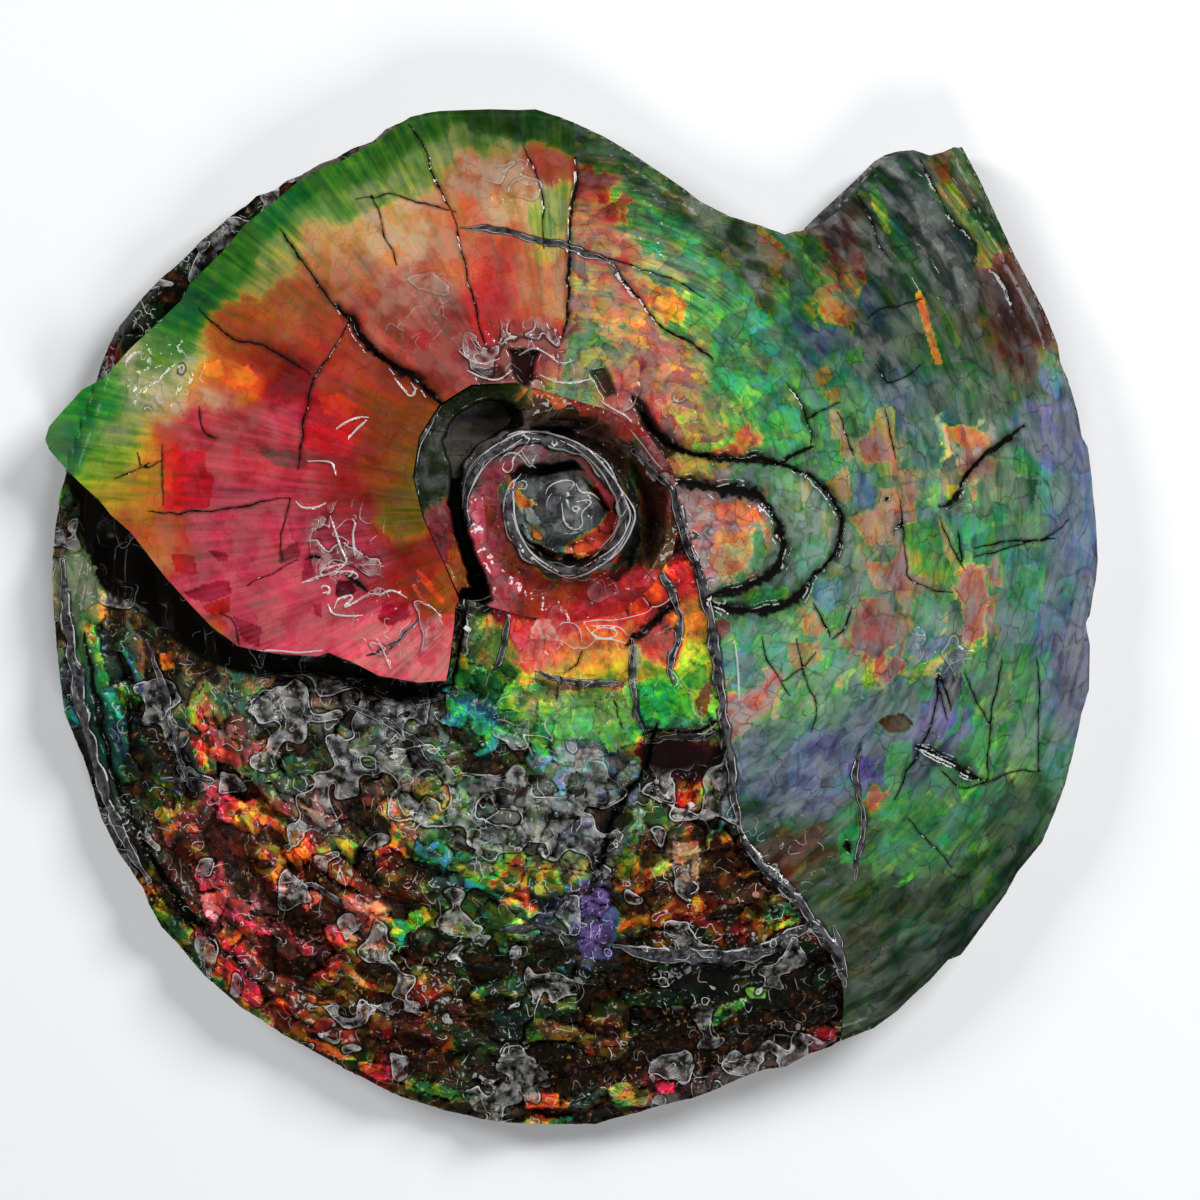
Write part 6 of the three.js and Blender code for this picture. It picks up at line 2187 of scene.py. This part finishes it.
@dataclass
class ShellChips:
    """Loose angular chips of shell, scattered over the crushed whorl by Geometry Nodes."""

    source: bpy.types.Object
    material: bpy.types.Material
    radius: float = 0.9
    thickness: float = 0.5
    seed: int = 7

    def tree(self) -> bpy.types.GeometryNodeTree:
        """Builds the scattering tree.

        Returns:
            The new node tree, with named inputs.
        """
        tree = bpy.data.node_groups.new("shell_chip_scatter", "GeometryNodeTree")
        for name, way, kind in (
            ("Geometry", "INPUT", "Geometry"),
            ("Chip radius", "INPUT", "Float"),
            ("Chip thickness", "INPUT", "Float"),
            ("Seed", "INPUT", "Int"),
            ("Geometry", "OUTPUT", "Geometry"),
        ):
            tree.interface.new_socket(name, in_out=way, socket_type=f"NodeSocket{kind}")
        entry = add_node(tree, "NodeGroupInput").outputs
        density = add_node(tree, "GeometryNodeInputNamedAttribute", {"Name": "chips"}, data_type="FLOAT")
        scatter = add_node(
            tree, "GeometryNodeDistributePointsOnFaces",
            {"Mesh": entry["Geometry"], "Density": density.outputs["Attribute"], "Seed": entry["Seed"]},
        )
        chip = add_node(
            tree, "GeometryNodeMeshCylinder",
            {"Vertices": 6, "Radius": entry["Chip radius"], "Depth": entry["Chip thickness"]},
        )
        sizes = add_node(
            tree, "FunctionNodeRandomValue", {0: (0.5, 0.45, 0.7), 1: (1.7, 1.1, 1.2), "Seed": entry["Seed"]},
            data_type="FLOAT_VECTOR",
        )
        tilt = add_node(
            tree, "FunctionNodeRandomValue", {0: (-0.32, -0.32, 0.0), 1: (0.32, 0.32, 6.28)},
            data_type="FLOAT_VECTOR",
        )
        turned = add_node(
            tree, "FunctionNodeRotateRotation", {0: scatter.outputs["Rotation"], 1: tilt.outputs[0]},
            rotation_space="LOCAL",
        )
        place = add_node(
            tree, "GeometryNodeInstanceOnPoints",
            {
                "Points": scatter.outputs["Points"],
                "Instance": chip.outputs["Mesh"],
                "Rotation": turned.outputs[0],
                "Scale": sizes.outputs[0],
            },
        )
        real = add_node(tree, "GeometryNodeRealizeInstances", {0: place.outputs[0]})

        # Each chip takes an outline of its own
        spot = add_node(tree, "GeometryNodeInputPosition").outputs[0]
        wobble = add_node(tree, "ShaderNodeTexNoise", {"Scale": 700.0, "Vector": spot}).outputs["Color"]
        middle = {0: wobble, 1: (0.5, 0.5, 0.5)}
        centred = add_node(tree, "ShaderNodeVectorMath", middle, operation="SUBTRACT").outputs[0]
        sway = {0: centred, 1: (0.0016, 0.0016, 0.0006)}
        scaled = add_node(tree, "ShaderNodeVectorMath", sway, operation="MULTIPLY").outputs[0]
        moved = add_node(tree, "GeometryNodeSetPosition", {"Geometry": real.outputs[0], "Offset": scaled})
        dressed = {"Geometry": moved.outputs[0], "Material": self.material}
        coat = add_node(tree, "GeometryNodeSetMaterial", dressed)
        add_node(tree, "NodeGroupOutput", {"Geometry": coat.outputs[0]})
        return tree

    def build(self) -> bpy.types.Object:
        """Scatters the chips and turns them into one plain mesh.

        Returns:
            The new object.
        """
        tree = self.tree()
        holder = bpy.data.objects.new("chip_ground", self.source.data)
        bpy.context.scene.collection.objects.link(holder)
        modifier = holder.modifiers.new("scatter", "NODES")
        modifier.node_group = tree
        values = {"Chip radius": self.radius * MM, "Chip thickness": self.thickness * MM, "Seed": self.seed}
        for item in tree.interface.items_tree:
            if item.in_out == "INPUT" and item.name in values:
                modifier[item.identifier] = values[item.name]
        evaluated = holder.evaluated_get(bpy.context.evaluated_depsgraph_get())
        mesh = bpy.data.meshes.new_from_object(evaluated)
        holder.modifiers.remove(modifier)
        bpy.data.objects.remove(holder)
        mesh.name = "shell_chips"
        mesh.materials.clear()
        piece = bpy.data.objects.new("shell_chips", mesh)
        bpy.context.scene.collection.objects.link(piece)
        return piece


@dataclass
class Fossil:
    """The whole specimen, sheet by sheet."""

    relief: Relief = field(default_factory=Relief)

    def flank_height(self, x: Array, y: Array) -> Array:
        """Height of the flank sheets."""
        return self.relief.flank(x, y)

    def whorl_height(self, x: Array, y: Array) -> Array:
        """Height of the crushed whorl."""
        return self.relief.whorl(x, y)

    def upper_flank(self) -> Sheet:
        """The bright upper flank, from the left tip to the crack above the umbilicus."""
        return Sheet(
            "upper_flank", UPPER_FLANK, 0.44, self.flank_height, UPPER_FLANK_PATCHES,
            Breakage(5.5, 2.0, 0.4, 0.06, 0.3, 2.4, 0.12, 0.10, 0.5),
            self.relief, FLANK_WEAR, FLANK_CRACKS + RESIN_WRINKLES, FLANK_BASINS, FLANK_FRAGMENTS,
            0.03, 0.6, 0.3, flow_turn=140, ribbed=True, seed=1,
        )

    def outer_flank(self) -> Sheet:
        """The green outer flank, from that crack round to the seam."""
        return Sheet(
            "outer_flank", OUTER_FLANK, 0.47, self.flank_height, UPPER_FLANK_PATCHES + DARK_FLANK_PATCHES,
            Breakage(4.4, 2.2, 0.5, 0.07, 0.35, 2.2, 0.14, 0.14, 0.8),
            self.relief, FLANK_WEAR, FLANK_CRACKS + FLANK_VEINS + RESIN_WRINKLES,
            FLANK_BASINS, FLANK_FRAGMENTS,
            0.10, 0.35, 0.85, flow_turn=0, seed=2,
        )

    def lower_whorl(self) -> Sheet:
        """The crushed lower whorl."""
        return Sheet(
            "lower_whorl", LOWER_WHORL, 0.465, self.whorl_height, WHORL_PATCHES,
            Breakage(5.0, 1.7, 2.0, 0.30, 0.7, 2.4, 0.5, 0.16, 0.5, 0.9, 0.85),
            self.relief, WHORL_WEAR, WHORL_GROOVES + WHORL_VEINS + FAN_WRINKLES,
            WHORL_BASINS, WHORL_FRAGMENTS,
            0.8, 0.2, 1.0, chip_density=2.4e4, flow_turn=-100, seed=3,
        )

    def umbilicus(self) -> Sheet:
        """The carved coil in the middle."""
        return Sheet(
            "umbilicus", COIL_BORDER, 0.33, self.relief.umbilicus, COIL_PATCHES,
            Breakage(4.0, 1.4, 0.4, 0.10, 0.3, 1.8, 0.2, 0.05, 0.5),
            self.relief, (), COIL_VEINS, COIL_BASINS, COIL_FRAGMENTS, 0.35, 0.2, 0.5, flow_turn=90, seed=4,
        )

    def rim_ledge(self) -> Sheet:
        """The dark ledge beside the upper left edge."""
        ground = (
            Patch(150, 310, 60, 60, 0, Hue.LEAF, 0.02, 0.0, 0.12),
            Patch(108, 350, 10, 10, 0, Hue.CRIMSON, 0.35),
            Patch(330, 162, 10, 8, 0, Hue.RED, 0.4),
            Patch(285, 188, 16, 5, -30, Hue.VERMILION, 0.3),
            Patch(230, 230, 50, 30, -40, Hue.LEAF, 0.03, 0.0, 0.3),
            Patch(345, 150, 40, 14, -30, Hue.LEAF, 0.03, 0.0, 0.2),
        )
        return Sheet(
            "rim_ledge", RIM_LEDGE, 0.45, self.whorl_height, ground,
            Breakage(4.2, 1.8, 0.9, 0.2, 0.8, 2.2, 0.3, 0.05, 0.5, 0.9, 0.3),
            self.relief, base_crush=0.7, base_mosaic=0.7, flow_turn=140, seed=5,
        )

    def mouth_face(self) -> Sheet:
        """The sloping broken mouth."""
        ground = (
            Patch(850, 190, 60, 30, 0, VIOLET, 0.05, 0.1, 0.85),
            Patch(930, 152, 30, 10, 0, VIOLET, 0.05, 0.1, 0.6),
        )
        return Sheet(
            "mouth_face", MOUTH_FACE, 0.45, self.whorl_height, ground,
            Breakage(4.2, 1.8, 0.5, 0.15, 0.5, 2.2, 0.2, 0.02, 0.4),
            self.relief, base_crush=0.3, flow_turn=90, seed=6,
        )

    def build(self) -> None:
        """Builds and dresses every piece."""
        bright = ShellFinish(
            "bright_ammolite", lace=6.0, cell_hue=0.03, cell_glow=0.3, crackle_dark=0.3,
            cloud=0.7, cloud_size=9.0, painted_sheen=0.1
        ).make()
        mosaic = ShellFinish(
            "mosaic_ammolite", cell_hue=0.08, cell_glow=0.45, crackle_dark=0.5,
            cloud=1.0, shard_gap=0.4, tile_length=2.4,
            slate_dark=0.03, slate_light=0.22, painted_sheen=0.19, milk=(0.34, 0.42, 0.42, 1.0), seal=0.7,
        ).make()
        coil = ShellFinish(
            "coil_ammolite", cell_hue=0.08, cell_glow=0.6, crackle_dark=0.6, cloud=1.1, shard_gap=0.45,
            slate_dark=0.03, slate_light=0.17, painted_sheen=0.12, milk=(0.34, 0.42, 0.42, 1.0), seal=0.7,
        ).make()
        crushed = ShellFinish(
            "crushed_ammolite", cell_hue=0.14, cell_glow=0.9, crackle_dark=0.4,
            cloud=1.8, cloud_size=5.0, curl=1.0,
            shard_gap=0.8, wrinkle=0.10, tile_length=1.5, seal=0.42, seal_roughness=0.19,
        ).make()
        dress(IronstoneBase(self.relief).build(), IronstoneFinish("ironstone").make())
        dress(self.upper_flank().build(), bright)
        dress(self.outer_flank().build(), mosaic)
        whorl = dress(self.lower_whorl().build(), crushed)
        dress(self.umbilicus().build(), coil)
        dress(self.rim_ledge().build(), crushed)
        dress(self.mouth_face().build(), coil)
        dress(ShellChips(whorl, crushed).build(), crushed)


@dataclass
class Studio:
    """White table, soft lamps and the camera straight above."""

    width: float = 300.0
    distance: float = 1200.0
    table_height: float = 13.0
    centre: tuple[float, float] = (7.1, 4.5)

    def floor(self) -> None:
        """Lays the white table."""
        mesh = bpy.data.meshes.new("table")
        reach = 2.5
        corners = [(-reach, -reach, 0), (reach, -reach, 0), (reach, reach, 0), (-reach, reach, 0)]
        mesh.from_pydata(corners, [], [(0, 1, 2, 3)])
        table = bpy.data.objects.new("table", mesh)
        bpy.context.scene.collection.objects.link(table)
        w = Wiring("white_table")
        pale = {"Base Color": (0.90, 0.905, 0.92, 1.0), "Roughness": 0.6}
        surface = w.node("ShaderNodeBsdfPrincipled", pale)
        w.tree.links.new(surface.outputs[0], w.output.inputs["Surface"])
        mesh.materials.append(w.material)

    def lamp(self, name: str, place: tuple[float, float, float], size: float, power: float) -> None:
        """Hangs one square lamp that faces the specimen.

        Args:
            name: The lamp's name.
            place: Where it hangs, in metres.
            size: Its side in metres.
            power: Its power in watts.
        """
        light = bpy.data.lights.new(name, "AREA")
        light.energy = power
        light.size = size
        lamp = bpy.data.objects.new(name, light)
        lamp.location = place
        lamp.rotation_euler = Vector(place).to_track_quat("Z", "Y").to_euler()
        bpy.context.scene.collection.objects.link(lamp)

    def camera(self) -> None:
        """Sets the camera straight above."""
        data = bpy.data.cameras.new("camera")
        data.sensor_width = 36.0
        data.lens = data.sensor_width * self.distance / self.width
        data.clip_start = 0.05
        data.clip_end = 20.0
        camera = bpy.data.objects.new("camera", data)
        camera.location = (self.centre[0] * MM, self.centre[1] * MM, (self.distance + self.table_height) * MM)
        bpy.context.scene.collection.objects.link(camera)
        bpy.context.scene.camera = camera

    def build(self) -> None:
        """Sets the whole studio."""
        scene = bpy.context.scene
        scene.view_settings.view_transform = "Standard"
        world = bpy.data.worlds.new("studio")
        world.use_nodes = True
        world.node_tree.nodes["Background"].inputs[0].default_value = (0.93, 0.96, 1.0, 1.0)
        world.node_tree.nodes["Background"].inputs[1].default_value = 0.05
        scene.world = world
        self.floor()
        self.lamp("window", (0.85, 0.75, 0.80), 0.55, 19.0)
        self.lamp("left_panel", (-0.95, 0.55, 0.75), 0.45, 8.0)
        self.lamp("front_panel", (0.25, -1.05, 0.75), 0.45, 7.0)
        self.camera()


def main() -> None:
    """Builds the studio and the specimen."""
    logging.basicConfig(level=logging.INFO)
    Studio().build()
    Fossil().build()


if __name__ == "__main__":
    main()
